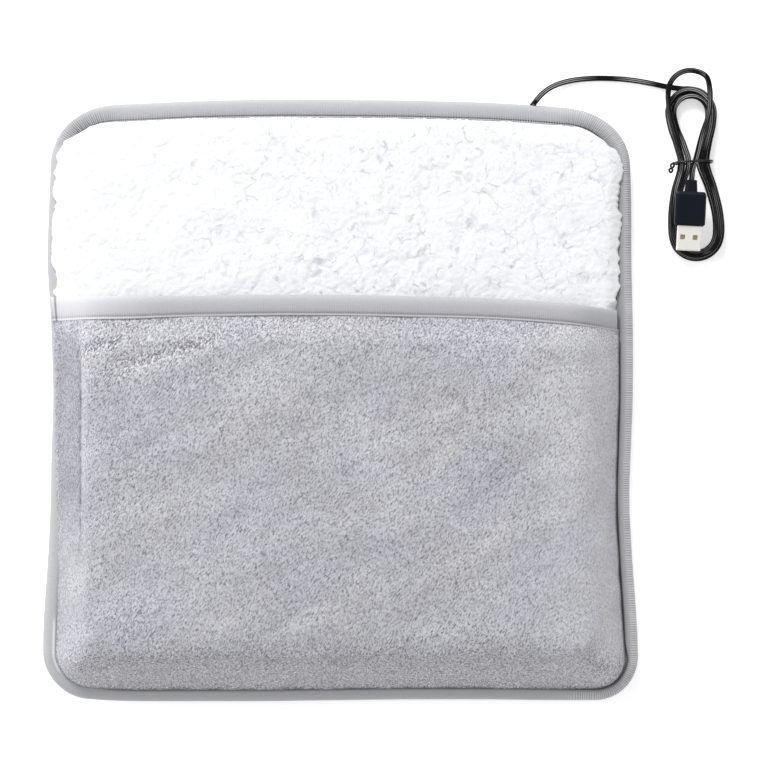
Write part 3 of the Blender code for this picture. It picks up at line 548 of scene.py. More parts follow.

# %% [markdown]
# A round section would look like hook-up wire. The sheath's outline is two overlapping
# circles, which leaves a groove along both flat faces and gives the lead its double
# highlight. Cross-sections are carried along the route in a frame that never spins, and
# each is rolled a little, because a twin lead in a hank doesn't lie flat everywhere. A mark
# along the two crests says where a pale highlight is painted, a few centimetres at a time.

# %% The lead's sheath
section_points = 32
hanked_from = 75 * mm
hanked_fade = 30 * mm
most_roll = math.radians(70)
roll_size = 26 * mm
highlight_patch_size = 17
crest_from = 0.972
crest_fade = 0.022


def twin_section(width, core, count):
    # Two overlapping circles; a core as wide as the section makes it round
    apart = (width - core) / 2
    outline = []
    for k in range(count):
        angle = 2 * math.pi * k / count
        side = 1 if math.cos(angle) > 0 else -1
        reach = side * apart * math.cos(angle)
        radius = reach + math.sqrt(max((core / 2) ** 2 - (apart * math.sin(angle)) ** 2, 0))
        outline.append((radius * math.cos(angle), radius * math.sin(angle)))
    return outline


def swept_tube(name, path, section, rolls):
    rings = []
    for back, place, ahead, roll in zip(path[:1] + path, path, path[1:] + path[-1:], rolls):
        along = (ahead - back).normalized()
        side = along.cross(Vector((0, 0, 1))).normalized()
        up = side.cross(along)
        across = side * math.cos(roll) + up * math.sin(roll)
        normal = up * math.cos(roll) - side * math.sin(roll)
        rings.append([place + across * a + normal * b for a, b in section])
    return skinned_rings(name, rings, flip=True)


path_count = len(cord_path)
path_runs = np.arange(path_count) * cord_length / path_count
rolls = most_roll * ease_past(path_runs, hanked_from, hanked_fade) * line_noise(path_runs, roll_size, 4.2, 0)
lead_section = twin_section(lead_width, core_width, section_points)
lead_piece = swept_tube("twin_lead", cord_path, lead_section, rolls)
section_heights = np.abs([b for a, b in lead_section])
# Painted highlight: pale lines on the section's two crests, on and off along the run
crest_highlight_share = ease_past(section_heights / section_heights.max(), crest_from, crest_fade)
highlight_strength = 0.35 + 2.2 * line_noise(range(path_count), highlight_patch_size, 7.7, 0)
mark_points(lead_piece, "crest_highlight", np.clip(highlight_strength[:, None] * crest_highlight_share, 0, 1))
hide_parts("lead", "lead_hank")
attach(lead_piece, "base")
print("sheath points:", len(lead_piece.data.vertices))

# %% [markdown]
# The tie is a stub of thin sheathed wire, bent round the waist of the hank. Its ends are
# twisted round each other at the left, where they lie like a small knob beside the strands.

# %% The tie
tie_radius = tie_width / 2
tie_slack = 0.6 * mm
strand_left = waist_half - waist_step / 7 + hank_width / 2
strand_right = waist_half + hank_width / 2
tie_half_x = (strand_left + strand_right) / 2 + tie_slack + tie_radius
tie_mid_x = (strand_right - strand_left) / 2
tie_low_z = floor_gap + tie_radius
tie_high_z = layer_z[3] + tie_lift + hank_width / 2 + strand_air + tie_radius
tie_mid_z = (tie_low_z + tie_high_z) / 2
tie_half_z = (tie_high_z - tie_low_z) / 2
twist_radius = 0.85 * mm
tail_length = 5 * mm
tail_slant = math.radians(70)
tail_steps = 30
ring_steps = 48
tie_step = 0.45 * mm
tie_section_points = 12
side_power, over_power, under_power = 1 / 3, 2 / 3, 1 / 3


def tie_tail(start):
    # One end of the wire, once round the other
    tail = []
    for k in range(tail_steps + 1):
        angle = start + 2 * math.pi * k / tail_steps
        down = tail_length * k / tail_steps
        out = twist_radius * math.cos(angle)
        away = twist_radius + down * math.cos(tail_slant) + out * math.sin(tail_slant)
        dy = out * math.cos(tail_slant) - down * math.sin(tail_slant)
        tail.append(in_hank(tie_mid_x - tie_half_x - away, dy, tie_mid_z + twist_radius * math.sin(angle)))
    return tail


def squared(value, power):
    # A sine or cosine that lingers near its ends, which squares a circle off
    return math.copysign(abs(value) ** power, value)


ring = []
for k in range(1, ring_steps):
    angle = math.pi * (1 + 2 * k / ring_steps)
    dx = tie_mid_x + tie_half_x * squared(math.cos(angle), side_power)
    power = under_power if math.sin(angle) < 0 else over_power
    ring.append(in_hank(dx, 0, tie_mid_z + tie_half_z * squared(math.sin(angle), power)))
tie_path = smooth_route(tie_tail(-math.pi / 2)[::-1] + ring + tie_tail(math.pi / 2), tie_step)
tie_section = twin_section(tie_width, tie_width, tie_section_points)
tie_piece = swept_tube("wire_tie", tie_path, tie_section, [0] * len(tie_path))
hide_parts("hank_tie")
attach(tie_piece, "base")
print("tie points:", len(tie_piece.data.vertices))

# %% [markdown]
# ## Surfaces of the pad
# The base and the front are height fields over the plan. Two functions repeat the shape of
# the solids: the roof of the hollow, which springs from the sewn edge, and the front's top.
# The mouth's line stands above its plan at the left and droops towards the right.

# %% The pad's measures
lining_crown = 16 * mm
hollow_height = 13 * mm
pocket_rise = 31 * mm
pocket_fullness = 2.5
pocket_inset = 8.8 * mm
pocket_edge_z = 10.9 * mm
roof_sag = 0.14
cloth_rise = 2.4 * mm
thin_padding = 0.6 * mm
full_padding = 5.7 * mm
pinch_length = 14 * mm
pinched_share = 0.2
lip_blend = 24 * mm
corner_power = 2.6
least_run = 0.01 * mm
sewn_until = 60 * mm
overhang_reach = 14 * mm
mouth_y = 49 * mm
mouth_tape_width = 10.5 * mm
mouth_seam_y = mouth_y - mouth_tape_width
pad_mid_y = -half_depth / 3
mouth_columns = in_mm(-150, -141, -106, -89, -53, -36, 0, 34, 52, 70, 87, 105, 122, 134, 150)
mouth_up = in_mm(2.9, 2.7, 1.9, 2.1, 2.4, 2.8, 2.7, 2.0, 1.7, 1.2, 0.3, -0.9, -2.6, -3.9, -5.0)


print("mouth's seam at y, mm:", round(mouth_seam_y / mm, 1))

# %% [markdown]
# Each function takes places on the plan, as single values or as whole grids. A run is the
# distance in from a sewn edge.

# %% The pad's functions
def edge_distance(x, y):
    # How far in from the pad's outline a place lies
    to_side, to_open, to_toe = side_reach(y) - np.abs(x), half_depth - y, half_depth + y
    distance = np.minimum(to_side, np.minimum(to_open, to_toe))
    for to_end, radius in ((to_open, open_corner), (to_toe, toe_corner)):
        inside = (to_side < radius) & (to_end < radius)
        rounded = radius - np.hypot(radius - to_side, radius - to_end)
        distance = np.where(inside, rounded, distance)
    return distance


def soft_run(x, y, lip, toe_lip):
    # Distance in from the front's sewn edge, rounded off where the side meets the toe
    to_side, to_toe = side_reach(y) - np.abs(x), half_depth + y
    nearest_lip = toe_lip + (lip - toe_lip) * ease(0.5 + (to_toe - to_side) / lip_blend)
    side_run, toe_run = np.maximum(to_side - lip, least_run), np.maximum(to_toe - toe_lip, least_run)
    run = (side_run ** -corner_power + toe_run ** -corner_power) ** (-1 / corner_power)
    return np.minimum(run, np.maximum(edge_distance(x, np.minimum(y, sewn_until)) - nearest_lip, 0))


def mouth_lean(x):
    return smooth_table(x, mouth_columns, mouth_up)


def spread_run(run, outer):
    # The run inside the sewn front for a cover that starts further out and hangs over the tape
    return run ** 2 / np.maximum(run + outer * np.exp(-run / overhang_reach), 1e-9)


def pocket_run(x, y):
    return soft_run(x, y, pocket_inset, pocket_inset)


def hollow_roof(run, y):
    share = np.clip(run / pocket_rise, 0, 1)
    along = np.clip((y - pad_mid_y) / (mouth_y - pad_mid_y), 0, None)
    rise = (lining_crown + hollow_height - pocket_edge_z) * (1 - roof_sag * along ** 2)
    return pocket_edge_z + rise * (1 - (1 - share) ** pocket_fullness)


def fill(y):
    # How far the padding fills out, pinched at the mouth's seam
    return pinched_share + (1 - pinched_share) * ease_past(y, mouth_seam_y, -pinch_length)


def front_height(run, y):
    # Top of the quilted front before its tape is on
    edge = np.clip(run / (pocket_rise / 2), 0, 1)
    return hollow_roof(run, y) + cloth_rise + edge * (thin_padding + full_padding * fill(y))


def plan_grid(rows, lip_left, lip_right, offsets, step):
    # Rows across the pad from lip to lip, finer columns where the edge rolls over
    count = int((2 * half_toe - 2 * offsets[-1]) / step)
    shares = np.linspace(0, 1, count + 1)[1:-1]
    left = -(half_width(rows, lip_left)[:, None] - offsets[None, :])
    right = half_width(rows, lip_right)[:, None] - offsets[None, ::-1]
    middle = left[:, -1:] + (right[:, :1] - left[:, -1:]) * shares[None, :]
    x = np.concatenate([left, middle, right], 1)
    return x, np.broadcast_to(rows[:, None], x.shape).copy()


def by_side(x, left, right):
    # One value for each row, taken from the table of the side that a place lies on
    return np.where(x < 0, left[:, None], right[:, None])


print("front's crown, mm:", round(float(front_height(pocket_rise, pad_mid_y)) / mm, 1))

# %% [markdown]
# ## White sherpa on the base
# The pile is about 3 mm deep. It swells over the tape along the sides, where it hides most
# of the tape on the left, and stops short of it along the open edge. The lip that it rolls
# over wanders, which gives the torn, woolly edge. Rows are close together only where the
# sherpa shows, behind the mouth.

# %% The base lining
pile_low, pile_shown, pile_high = -half_depth + 9 * mm, 36 * mm, half_depth - 9.9 * mm
hidden_step = 3.5 * mm
shown_step = 0.62 * mm
column_step = 0.8 * mm
tuft_sizes = in_mm(11, 4, 1.8)
lip_z = 11.9 * mm
crown_z = 15.2 * mm
lip_slack = 0.8 * mm
lip_roll = 15 * mm
hollow_air = 0.6 * mm
open_air_z = 30 * mm
inner_edge = 9.5 * mm
backing_z = 9.8 * mm
edge_backing_z = 11.5 * mm
least_thickness = 0.05 * mm


def torn_edge(rows, seed):
    # Tufts that stand out by different amounts, each a few millimetres wide
    broad, small, wisps = (line_noise(rows, size, seed + 4 + 2 * k) for k, size in enumerate(tuft_sizes))
    return mm * (1.5 * (2.4 * np.abs(broad) - 0.5) + 0.7 * (2.4 * np.abs(small) - 0.5) + 0.4 * wisps)


shown_count = int((pile_high - pile_shown) / shown_step)
pile_rows = np.concatenate([np.arange(pile_low, pile_shown, hidden_step),
                            np.linspace(pile_shown, pile_high, shown_count)])
plain_left = smooth_table(pile_rows, in_mm(-150, 118, 126, 134, 139, 142, 150),
                          in_mm(3.4, 3.4, 4.0, 5.0, 7.0, 8.6, 8.8))
plain_right = smooth_table(pile_rows, in_mm(-150, 45, 60, 85, 108, 120, 127, 134, 150),
                           in_mm(7.6, 7.6, 7.0, 6.5, 5.4, 4.2, 5.6, 8.7, 8.9))
lip_left = np.minimum(plain_left + torn_edge(pile_rows, 1.0), 8.9 * mm)
lip_right = np.minimum(plain_right + torn_edge(pile_rows, 2.0), 9.2 * mm)
roll = in_mm(0.0, 0.06, 0.25, 0.6, 1.1, 1.8, 2.6, 3.5)
x, y = plan_grid(pile_rows, lip_left, lip_right, roll, column_step)
ragged = 1.6 * np.abs(noise_field(x, 0 * y, 3.6 * mm, 91.0)) + 0.5 * noise_field(x, 0 * y, 1.6 * mm, 92.0)
ragged = 0.5 * (ragged - 0.2) + 0.3 * fade(x, -58, -16)
y = y + ragged * mm * ease_past(y, half_depth - 14 * mm, 4 * mm)
inwards = np.clip(edge_distance(x, y) - by_side(x, lip_left, lip_right), 0, None)
inside = np.clip(edge_distance(x, y) - by_side(x, plain_left, plain_right) + lip_slack, 0, None)
share = np.clip(np.minimum(inside, 4 * inwards) / lip_roll, 0, 1)
base = np.stack([x, y, lip_z + (crown_z - lip_z) * np.sqrt(1 - (1 - share) ** 2)], 2)
height, crease_shade = curled_pile(x, y, 11.0)
shown = (0.35 + 0.65 * fade(x, -100, 70)) * fade(inwards, 0, 4)
lifted = base + grid_normals(base) * (height * (0.2 + 0.8 * fade(inwards, 0, 6)))[..., None]
roof = hollow_roof(pocket_run(x, y), y) - hollow_air
lifted[..., 2] = np.minimum(lifted[..., 2], roof + (open_air_z - roof) * fade(y, 46, 14))
under = lifted.copy()
edge_under = np.minimum(edge_backing_z, lifted[..., 2] - least_thickness)
under[..., 2] = np.where(edge_distance(x, y) < inner_edge, edge_under, backing_z)
# The crease and parting marks drive painted shade in the sherpa's shader
base_pile = closed_sheet("base_sherpa", bend_plan(lifted), bend_plan(under),
                         {"crease_shade": crease_shade * shown, "parting_shade": shown})
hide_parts("base_lining")
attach(base_pile, "base")
print("sherpa points:", len(base_pile.data.vertices))

# %% [markdown]
# ## The plush front
# The front is crowned over the hollow and pinched down under its tape. It is soft, so it
# has slow swells, a turned-down band with a crease along the left side, and slanting folds
# near the mouth's left end. Its mesh carries four marks for the shader: painted shade on the
# band, painted light on the right side and along the toe's fringe, a painted shadow line at
# the seam and along the crease, and painted shade with highlights in the folds.

# %% The front's cover
toe_lip = 5.6 * mm
cover_edge_z = 11.7 * mm
cover_roll = 1.6 * mm
cover_thickness = 1.6 * mm
cover_step = 1.25 * mm
cover_rows = 196
fold_lines = ((-136, 19, -104, 28, 3.2, 1.3), (-128, 9, -48, 31, 4.4, 1.5), (-96, -2, -48, 20, 5.0, 0.5),
              (-128, -92, -100, -128, 4.0, 0.4), (-112, -96, -84, -132, 5.0, 0.5),
              (96, 24, 136, 12, 4.0, 0.4), (30, 20, 84, 30, 5.0, 0.3))
side_crease = (-131.8, 32, -131.4, -70, 1.2)
dark_crease = (-131.8, 40, -131.4, -90, 0.6)
swells = ((1.1, 46, 3.0), (0.5, 17, 5.0), (0.22, 7, 8.0))


def fold_line(x, y, x0, y0, x1, y1, width):
    # 1 along a line between two places in millimetres, fading out over its width and at both ends
    along = np.array([x1 - x0, y1 - y0])
    length = np.linalg.norm(along)
    along = along / length
    s = (x / mm - x0) * along[0] + (y / mm - y0) * along[1]
    off = (y / mm - y0) * along[0] - (x / mm - x0) * along[1]
    ends = ease(s / (0.3 * length)) * ease((length - s) / (0.3 * length))
    return np.exp(-(off / width) ** 2) * ends


def noise_mask(x, y, size, seed, level, contrast):
    return np.clip(level + contrast * noise_field(x, y, size * mm, seed), 0, 1)


front_low = -half_depth + toe_lip
front_rows = np.linspace(front_low, mouth_seam_y + 1.2 * mm, cover_rows)
lip_left = smooth_table(front_rows, in_mm(-148, -140, -118, -98, -80, -50, -20),
                        in_mm(5.8, 6.2, 6.9, 6.5, 5.6, 3.4, 1.6))
lip_left = lip_left + 0.25 * mm * line_noise(front_rows, 9 * mm, 5.0)
lip_right = 7.2 * mm + 0.3 * mm * line_noise(front_rows, 9 * mm, 6.0)
near_toe = ease_past(front_rows, -half_depth + 40 * mm, -30 * mm)
lip_right = lip_right * (1 - near_toe) + 5.8 * mm * near_toe
roll = np.concatenate([[0.0, 0.08, 0.3, 0.7, 1.2, 1.9, 2.8], np.arange(3.7, 16.5, 0.75)]) * mm
x, y = plan_grid(front_rows, lip_left, lip_right, roll, cover_step)
slant = mouth_lean(x) * np.clip((y - front_rows[0]) / (front_rows[-1] - front_rows[0]), 0, 1) ** 2
lip = by_side(x, lip_left, lip_right)
run = soft_run(x, y, lip, toe_lip)
tall = front_height(spread_run(run, pocket_inset - lip), y)
z = cover_edge_z + (tall - cover_edge_z) * (1 - np.exp(-run / cover_roll))
all_folds = sum(strength * fold_line(x, y, *line) for *line, strength in fold_lines)
swell = sum(rise * noise_field(x, y, size * mm, seed) for rise, size, seed in swells)
relief = mm * (swell - 0.7 * fold_line(x, y, *side_crease) - 0.85 * all_folds)
relief = relief * fade(run, 0, 14) * (0.3 + 0.7 * ease_past(y, mouth_seam_y, -12 * mm))
nap = 0.10 * mm * noise_field(x, y, 2.1 * mm, 12.0)
toe_wave = 0.9 * noise_field(x, 0 * y, 15 * mm, 17.0) + 0.5 * noise_field(x, 0 * y, 4 * mm, 18.0)
placed = y + slant + toe_wave * mm * ease_past(y, -half_depth + 13 * mm, -7 * mm)
over = np.stack([x, placed, z + relief + nap], 2)
under = np.stack([x, placed, np.maximum(z + relief - cover_thickness, edge_backing_z)], 2)
under[..., 2] = np.minimum(under[..., 2], over[..., 2] - least_thickness)
print("cover's rows and columns:", x.shape)

# %% [markdown]
# The marks lie on the same grid. Each is a product of fades, and each fade is given by where
# it starts and how far it takes, in millimetres; a minus means that it looks the other way.

# %% The cover's marks
# Painted shade: the turned band on the left is darkened and tinted bluer, as its slope would be in shade
turned_band_shade = fade(x, -130.5, -3) * fade(y, 38, -12) * fade(y, -90, 60) * (0.35 + 0.65 * fade(run, 0, 3))
# Painted highlight: a light fringe of pile tips along the toe edge
fringe_highlight = fade(run, 2.4, -1.2) * fade(run, 0.7, 0.5) * fade(y, -120, -6)
# Painted light: the right side of the front is lightened against its shading, with the fringe highlight
right_side_light = np.maximum(fade(x, 86, 40), 1.6 * fringe_highlight * noise_mask(x, y, 2.6, 19.0, 0.4, 2))
# Painted shadow: a dark line along the seam at the right and the toe, and along the dark crease
at_seam_shadow = fade(run, 1.1, -0.8) * np.maximum(0.75 * fade(x, 100, 20), 0.45 * fade(y, -126, -8))
crease_shade = fold_line(x, y, *dark_crease) * noise_mask(x, y, 3, 15.0, 0.8, 1.6)
# Painted shade: the folds, the front near the mouth and towards the toe are darkened; fold tips get painted
# highlights
shade_by_folds = 0.3 * np.exp(-((x / mm + 104) / 34) ** 2 - ((y / mm - 22) / 15) ** 2)
folded_shade_and_highlight = 0.5 * all_folds + 0.35 * fade(y, 20, 16) + 0.8 * fade(y, -118, -20) + shade_by_folds
front_marks = {"left_band_shade": turned_band_shade, "painted_light": right_side_light, "seam_shadow": np.maximum(at_seam_shadow, 0.8 * crease_shade),
               "fold_shade_and_highlight": np.clip(folded_shade_and_highlight, 0, 1)}
front_cover = closed_sheet("front_plush_cover", bend_plan(over), bend_plan(under), front_marks)
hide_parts("pocket_cover")
print("plush points:", len(front_cover.data.vertices))

# %% [markdown]
# ## Under the front
# The hollow's roof is lined with the same pile as the base, seen only from low in front of
# the mouth. Between it and the plush lies the wadding.

# %% The front's lining and wadding
lining_gap = 0.9 * mm
lining_padding = 3.2 * mm
filled_from_edge = 20 * mm
roof_pile_drop = 1.3 * mm
wadding_gap = 0.25 * mm
least_wadding = 0.5 * mm
full_wadding = 1.9 * mm


def nested_sheet(name, node, row_count, step, lip_inset, end_y, over_shape, under_shape):
    # A sheet under the plush, sewn in at an inset; both its faces are given as functions
    rows = np.linspace(-half_depth + lip_inset + 0.2 * mm, end_y, row_count)
    x, y = plan_grid(rows, lip_inset, lip_inset, in_mm(0.0, 0.5, 1.4, 2.6), step)
    run = pocket_run(x, y)
    slant = mouth_lean(x) * np.clip((y - rows[0]) / (rows[-1] - rows[0]), 0, 1) ** 2
    over, under = (np.stack([x, y + slant, shape(x, y, run)], 2) for shape in (over_shape, under_shape))
    sheet = closed_sheet(name, bend_plan(over), bend_plan(under))
    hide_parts(node)
    return sheet


def filled(run, y):
    return np.clip(run / filled_from_edge, 0, 1) * fill(y)


def lining_top(x, y, run):
    return hollow_roof(run, y) + lining_gap + lining_padding * filled(run, y)


def pile_face(x, y, run):
    tufts, _ = curled_pile(x, y, 71.0)
    return hollow_roof(run, y) + (roof_pile_drop - 0.55 * tufts) * fade(run, 0, 10)


def wadding_low(x, y, run):
    return lining_top(x, y, run) + wadding_gap


def wadding_high(x, y, run):
    lumps = 0.25 * mm * noise_field(x, y, 9 * mm, 33.0)
    return wadding_low(x, y, run) + least_wadding + (full_wadding + lumps) * filled(run, y)


roof_pile = nested_sheet("roof_sherpa", "pocket_lining", 150, 1.7 * mm, pocket_inset,
                         mouth_y - 1.6 * mm, lining_top, pile_face)
front_wadding = nested_sheet("front_wadding", "pocket_wadding", 60, 5 * mm, pocket_inset + 0.9 * mm,
                             mouth_seam_y - 0.4 * mm, wadding_high, wadding_low)
print("lining points:", len(roof_pile.data.vertices), "wadding:", len(front_wadding.data.vertices))

# %% [markdown]
# ## The mouth's tape
# A tape of soft cloth, folded over the raw edge of the front. Its outer half is smooth and
# round. Towards its seam the cloth is gathered in fine ribs, and a row of stitches pulls it
# down, beyond which a thin flange stands up against the plush. It follows the mouth's line,
# is a little wider at its left end, and has painted light there and along the flange. The
# grooves between its ribs get painted shade.
# Each row of the profile is the distance back from the mouth, the height above the front,
# both in millimetres, and how strong the ribs are there.

# %% The folded tape
mouth_profile = (
    (10.5, 0.1, 0.9), (10.5, 0.45, 0.5), (10.15, 0.7, 0.1), (9.75, 0.75, 0.1), (9.4, 0.6, 0.62),
    (9.15, 0.75, 0.5), (8.8, 1.2, 0.32), (8.0, 1.55, 0.26), (7.0, 1.75, 0.22), (6.0, 1.9, 0.17),
    (5.0, 2.0, 0.12), (4.0, 2.05, 0.08), (3.0, 2.0, 0.04), (2.0, 1.8, 0.0), (1.1, 1.35, 0.0),
    (0.45, 0.7, 0.0), (0.1, -0.2, 0.0), (0.0, -1.4, 0.0))
mouth_pitch = 1.15 * mm
mouth_stations = 861
left_lip, right_lip = 1.6 * mm, 7.7 * mm
over_share, under_share = 0.85, 0.45
under_lift = 0.3 * mm
rib_rise = 0.08 * mm
widening = 0.17
stitch_rows = slice(2, 4)


def tape_wave(run, pitch, seed):
    # Ribs of slightly uneven spacing and strength along a gathered tape
    phase = run / pitch + 0.55 * line_noise(run, 7 * mm, seed, 0)
    strength = 0.75 + 0.5 * line_noise(run, 11 * mm, seed, 9)
    return (np.cos(2 * math.pi * phase) - 0.2) * strength


tape_left = -float(half_width(mouth_y, 1.2 * mm))
tape_right = float(half_width(mouth_y, 8.3 * mm))
stations = tape_left + (tape_right - tape_left) * np.linspace(0, 1, mouth_stations)
ribs = tape_wave(stations - tape_left, mouth_pitch, 21.0)
lips = np.where(stations > 0, right_lip, left_lip)
runs = spread_run(soft_run(stations, mouth_y, lips, lips), pocket_inset - lips)
sag = 0.35 * mm * line_noise(stations, 30 * mm, 3.3, 0)
wide = 1 + widening * fade(stations, -62, -80)
end_stitch = 0.7 * np.exp(-((stations - tape_left - 2.2 * mm) / (0.5 * mm)) ** 2)
line_y = mouth_y + mouth_lean(stations)
columns, groove_shade_rows = [], []
for back, up, ribbed in mouth_profile:
    level = front_height(runs, mouth_y - back * wide * mm)
    z = level + sag + up * mm * over_share + rib_rise * ribs * ribbed
    columns.append(np.stack([stations, line_y - back * wide * mm, z], 1))
    # Painted shade in the grooves between the ribs, and a dark line across the tape near its left end
    groove_shade_rows.append(np.maximum(np.maximum(0.25 - ribs, 0) * ribbed * 0.55, end_stitch))
for back, down, ribbed in mouth_profile[-2::-1]:
    z = hollow_roof(runs, mouth_y - back * mm) + under_lift - down * mm * under_share
    columns.append(np.stack([stations, line_y - back * mm, z], 1))
    groove_shade_rows.append(0 * stations)
tape_points = np.stack(columns, 1)
mouth_tape = skinned_rings("mouth_tape", bend_plan(tape_points))
mark_points(mouth_tape, "groove_shade", np.clip(np.stack(groove_shade_rows, 1), 0, 1))
# Painted light: lighter towards the left end and along the flange's top
painted_light = 0.4 * fade(tape_points[..., 0], -84, -50)
painted_light[:, stitch_rows] += 0.16
mark_points(mouth_tape, "painted_light", np.clip(painted_light, 0, 0.7))
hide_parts("mouth_binding")
print("mouth tape points:", len(mouth_tape.data.vertices))

# %% [markdown]
# ## The tape round the pad
# The same tape runs round the whole pad, over the edges of the base and of the front. It is
# gathered at the corners, where its ribs are strong, and along its inner half elsewhere.
# Each row of the profile is the distance in from the outline and the height, both in
# millimetres, and how strong the ribs are there.

# %% The edge tape
edge_profile = np.array([
    (8.3, 10.0, 0.0), (8.3, 10.9, 0.0), (8.0, 11.3, 0.0), (7.65, 11.2, 0.1), (7.35, 10.9, 1.6),
    (7.05, 11.1, 1.3), (6.6, 11.45, 0.8), (6.2, 11.6, 0.9), (5.8, 11.75, 1.0), (5.4, 11.8, 0.95),
    (4.9, 11.8, 0.9), (4.2, 11.75, 0.75), (3.3, 11.6, 0.6), (2.4, 11.3, 0.5), (1.6, 10.75, 0.45),
    (0.8, 9.9, 0.4), (0.25, 8.8, 0.35), (0.0, 7.5, 0.3), (0.25, 6.1, 0.2), (0.8, 5.0, 0.2),
    (1.6, 4.2, 0.3), (3.0, 3.6, 0.4), (5.0, 3.4, 0.5), (8.0, 3.4, 0.3), (8.0, 4.6, 0.0),
    (3.2, 4.6, 0.0), (2.7, 5.2, 0.0), (2.7, 9.4, 0.0), (3.2, 10.0, 0.0)])
edge_step = 0.36 * mm
edge_pitch = 1.2 * mm
gathered_corners = ((-1, -1, toe_corner, 0.9), (1, -1, toe_corner, 0.9), (1, 1, open_corner, 0.3),
                    (-1, 1, open_corner, 0.8))
corner_reach = 34 * mm
plain_gather = 0.12
edge_rib_rise = 0.16 * mm
open_widening = 1.3 * mm
toe_seam, side_seam = 5.6 * mm, 7.2 * mm
seam_width = 0.7 * mm
xy, inward, along = outline_points(edge_step)
ribs = tape_wave(along, edge_pitch, 51.0)
tape_x, tape_y = xy.T
corner_near = np.zeros(len(xy))
for sx, sy, radius, strength in gathered_corners:
    half = half_toe if sy < 0 else half_open
    away = np.hypot(tape_x - sx * (half - radius * 0.3), tape_y - sy * (half_depth - radius * 0.3))
    corner_near = np.maximum(corner_near, strength * ease(1 - away / corner_reach))
on_right = fade(tape_x, 100, 30) * np.clip(1 - corner_near * (tape_y > 0), 0, 1)
on_open = fade(tape_y, 122, 14)
on_toe = fade(tape_y, -120, -12)
gathered = plain_gather + corner_near * (1 - 0.7 * fade(tape_y, 0, -100))
gathered = gathered + 0.22 * fade(tape_y, 120, 20) + 0.1 * fade(tape_y, -120, -20)
seam_inset = toe_seam * on_toe + side_seam * (1 - on_toe)
beside_front = fade(tape_y, 31, -3) * np.maximum(fade(tape_x, 100, 20), on_toe * fade(tape_x, -128, 16))
rings = np.zeros((len(xy), len(edge_profile), 3))
for k, (inset, level, ribbed) in enumerate(edge_profile):
    on_top = level > 7.5
    lift = edge_rib_rise * ribs * (ribbed * gathered + 0.45 * ease_past(inset, 4.6, -2) * on_right)
    outward = lift if inset < 3 else 0
    wider = open_widening * on_open * ease_past(inset, 2, 4) * on_top
    rings[:, k, :2] = xy + inward * (inset * mm + wider - outward)[:, None]
    rings[:, k, 2] = level * mm + (lift if inset >= 1.6 else 0) * (1 if on_top else -1)
edge_tape = skinned_rings("edge_tape", bend_plan(rings), flip=True, closed=True)
print("tape points:", len(edge_tape.data.vertices))

# %% [markdown]
# The tape's marks are worked out on the same grid, one row for each place along it and one
# column for each row of the profile: painted shade in its grooves, in the open edge's stitches
# and on the inner half at the right, a painted shadow line beside the front, and painted light
# on the outer half on the right with a painted highlight sliver at the left toe.

# %% The edge tape's marks
tape_x, tape_y, ribs, on_toe = (values[:, None] for values in (tape_x, tape_y, ribs, on_toe))
beside_front, seam_inset, on_right, gathered = (
    values[:, None] for values in (beside_front, seam_inset, on_right, gathered))
insets, _, ribbed = edge_profile.T
spread_in = np.clip(gathered, 0, 1)
shown_ribs = np.clip(ribbed - 0.9 * (1 - spread_in), 0, 2) * (0.35 + 0.65 * spread_in)
outer_share = ease_past(insets, 4.6, -2) * on_right
open_seam = fade(tape_y, 125, 12) * (0.5 + 0.5 * fade(tape_x, -95, 30))
# Painted shade in the stitched groove, a painted shadow line beside the front, and painted shade in the rib
# grooves and the right's inner half
stitch_shade = (ribbed > 1.2) * open_seam * (0.5 - 0.6 * ribs)
seam_shadow_mark = beside_front * np.exp(-((insets * mm - seam_inset) / seam_width) ** 2) * (1.05 - 0.4 * on_toe)
rib_shade = (0.2 - ribs) * (shown_ribs + 0.55 * outer_share) + 0.3 * ease_past(insets, 2, 5) * on_right
mark_points(edge_tape, "groove_shade", np.clip(rib_shade + stitch_shade + seam_shadow_mark, 0, 1.2))
# Painted light on the right's outer half and a painted highlight sliver at the left toe
at_left_toe = fade(tape_x, -120, -10) * fade(tape_y, -106, -10) * fade(tape_y, -146, 8)
highlight_sliver = np.exp(-((insets - 5.6) / 0.5) ** 2) * at_left_toe
mark_points(edge_tape, "painted_light", np.clip(0.5 * outer_share + 0.9 * highlight_sliver, 0, 1))
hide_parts("edge_binding")
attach(edge_tape, "base")
print("marks:", [a.name for a in edge_tape.data.attributes if a.data_type == "FLOAT"])

# %% [markdown]
# ## Underside and inner layers
# The underside is a plain short-napped cloth, drawn up to the seam all round. Inside lie the
# wadding and the two carrier sheets of the heater, each its own cloth.

# %% The underside and the layers
cloth_inset = 3.2 * mm
cloth_step = 2 * mm
cloth_rows = 150
cloth_thickness = 1.5 * mm
drawn_up = 4.9 * mm
layer_corner = 14 * mm
layer_wave = 0.12 * mm
layer_points = 70
rows = np.linspace(-half_depth + cloth_inset, half_depth - cloth_inset, cloth_rows)
x, y = plan_grid(rows, cloth_inset, cloth_inset, in_mm(0.0, 1.2, 2.6, 4.2, 6.0, 8.0, 10.5), cloth_step)
inset = edge_distance(x, y)
pucker = 0.3 * mm * noise_field(x, y, 8 * mm, 61.0) * fade(inset, 18, -8) * fade(inset, 9, 3)
low = np.maximum(drawn_up * (1 - fade(inset, 8, 9)) + pucker, 0.0)
underside = closed_sheet("underside_cloth", bend_plan(np.stack([x, y, low + cloth_thickness], 2)),
                         bend_plan(np.stack([x, y, low], 2)))
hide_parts("base_cover")
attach(underside, "base")


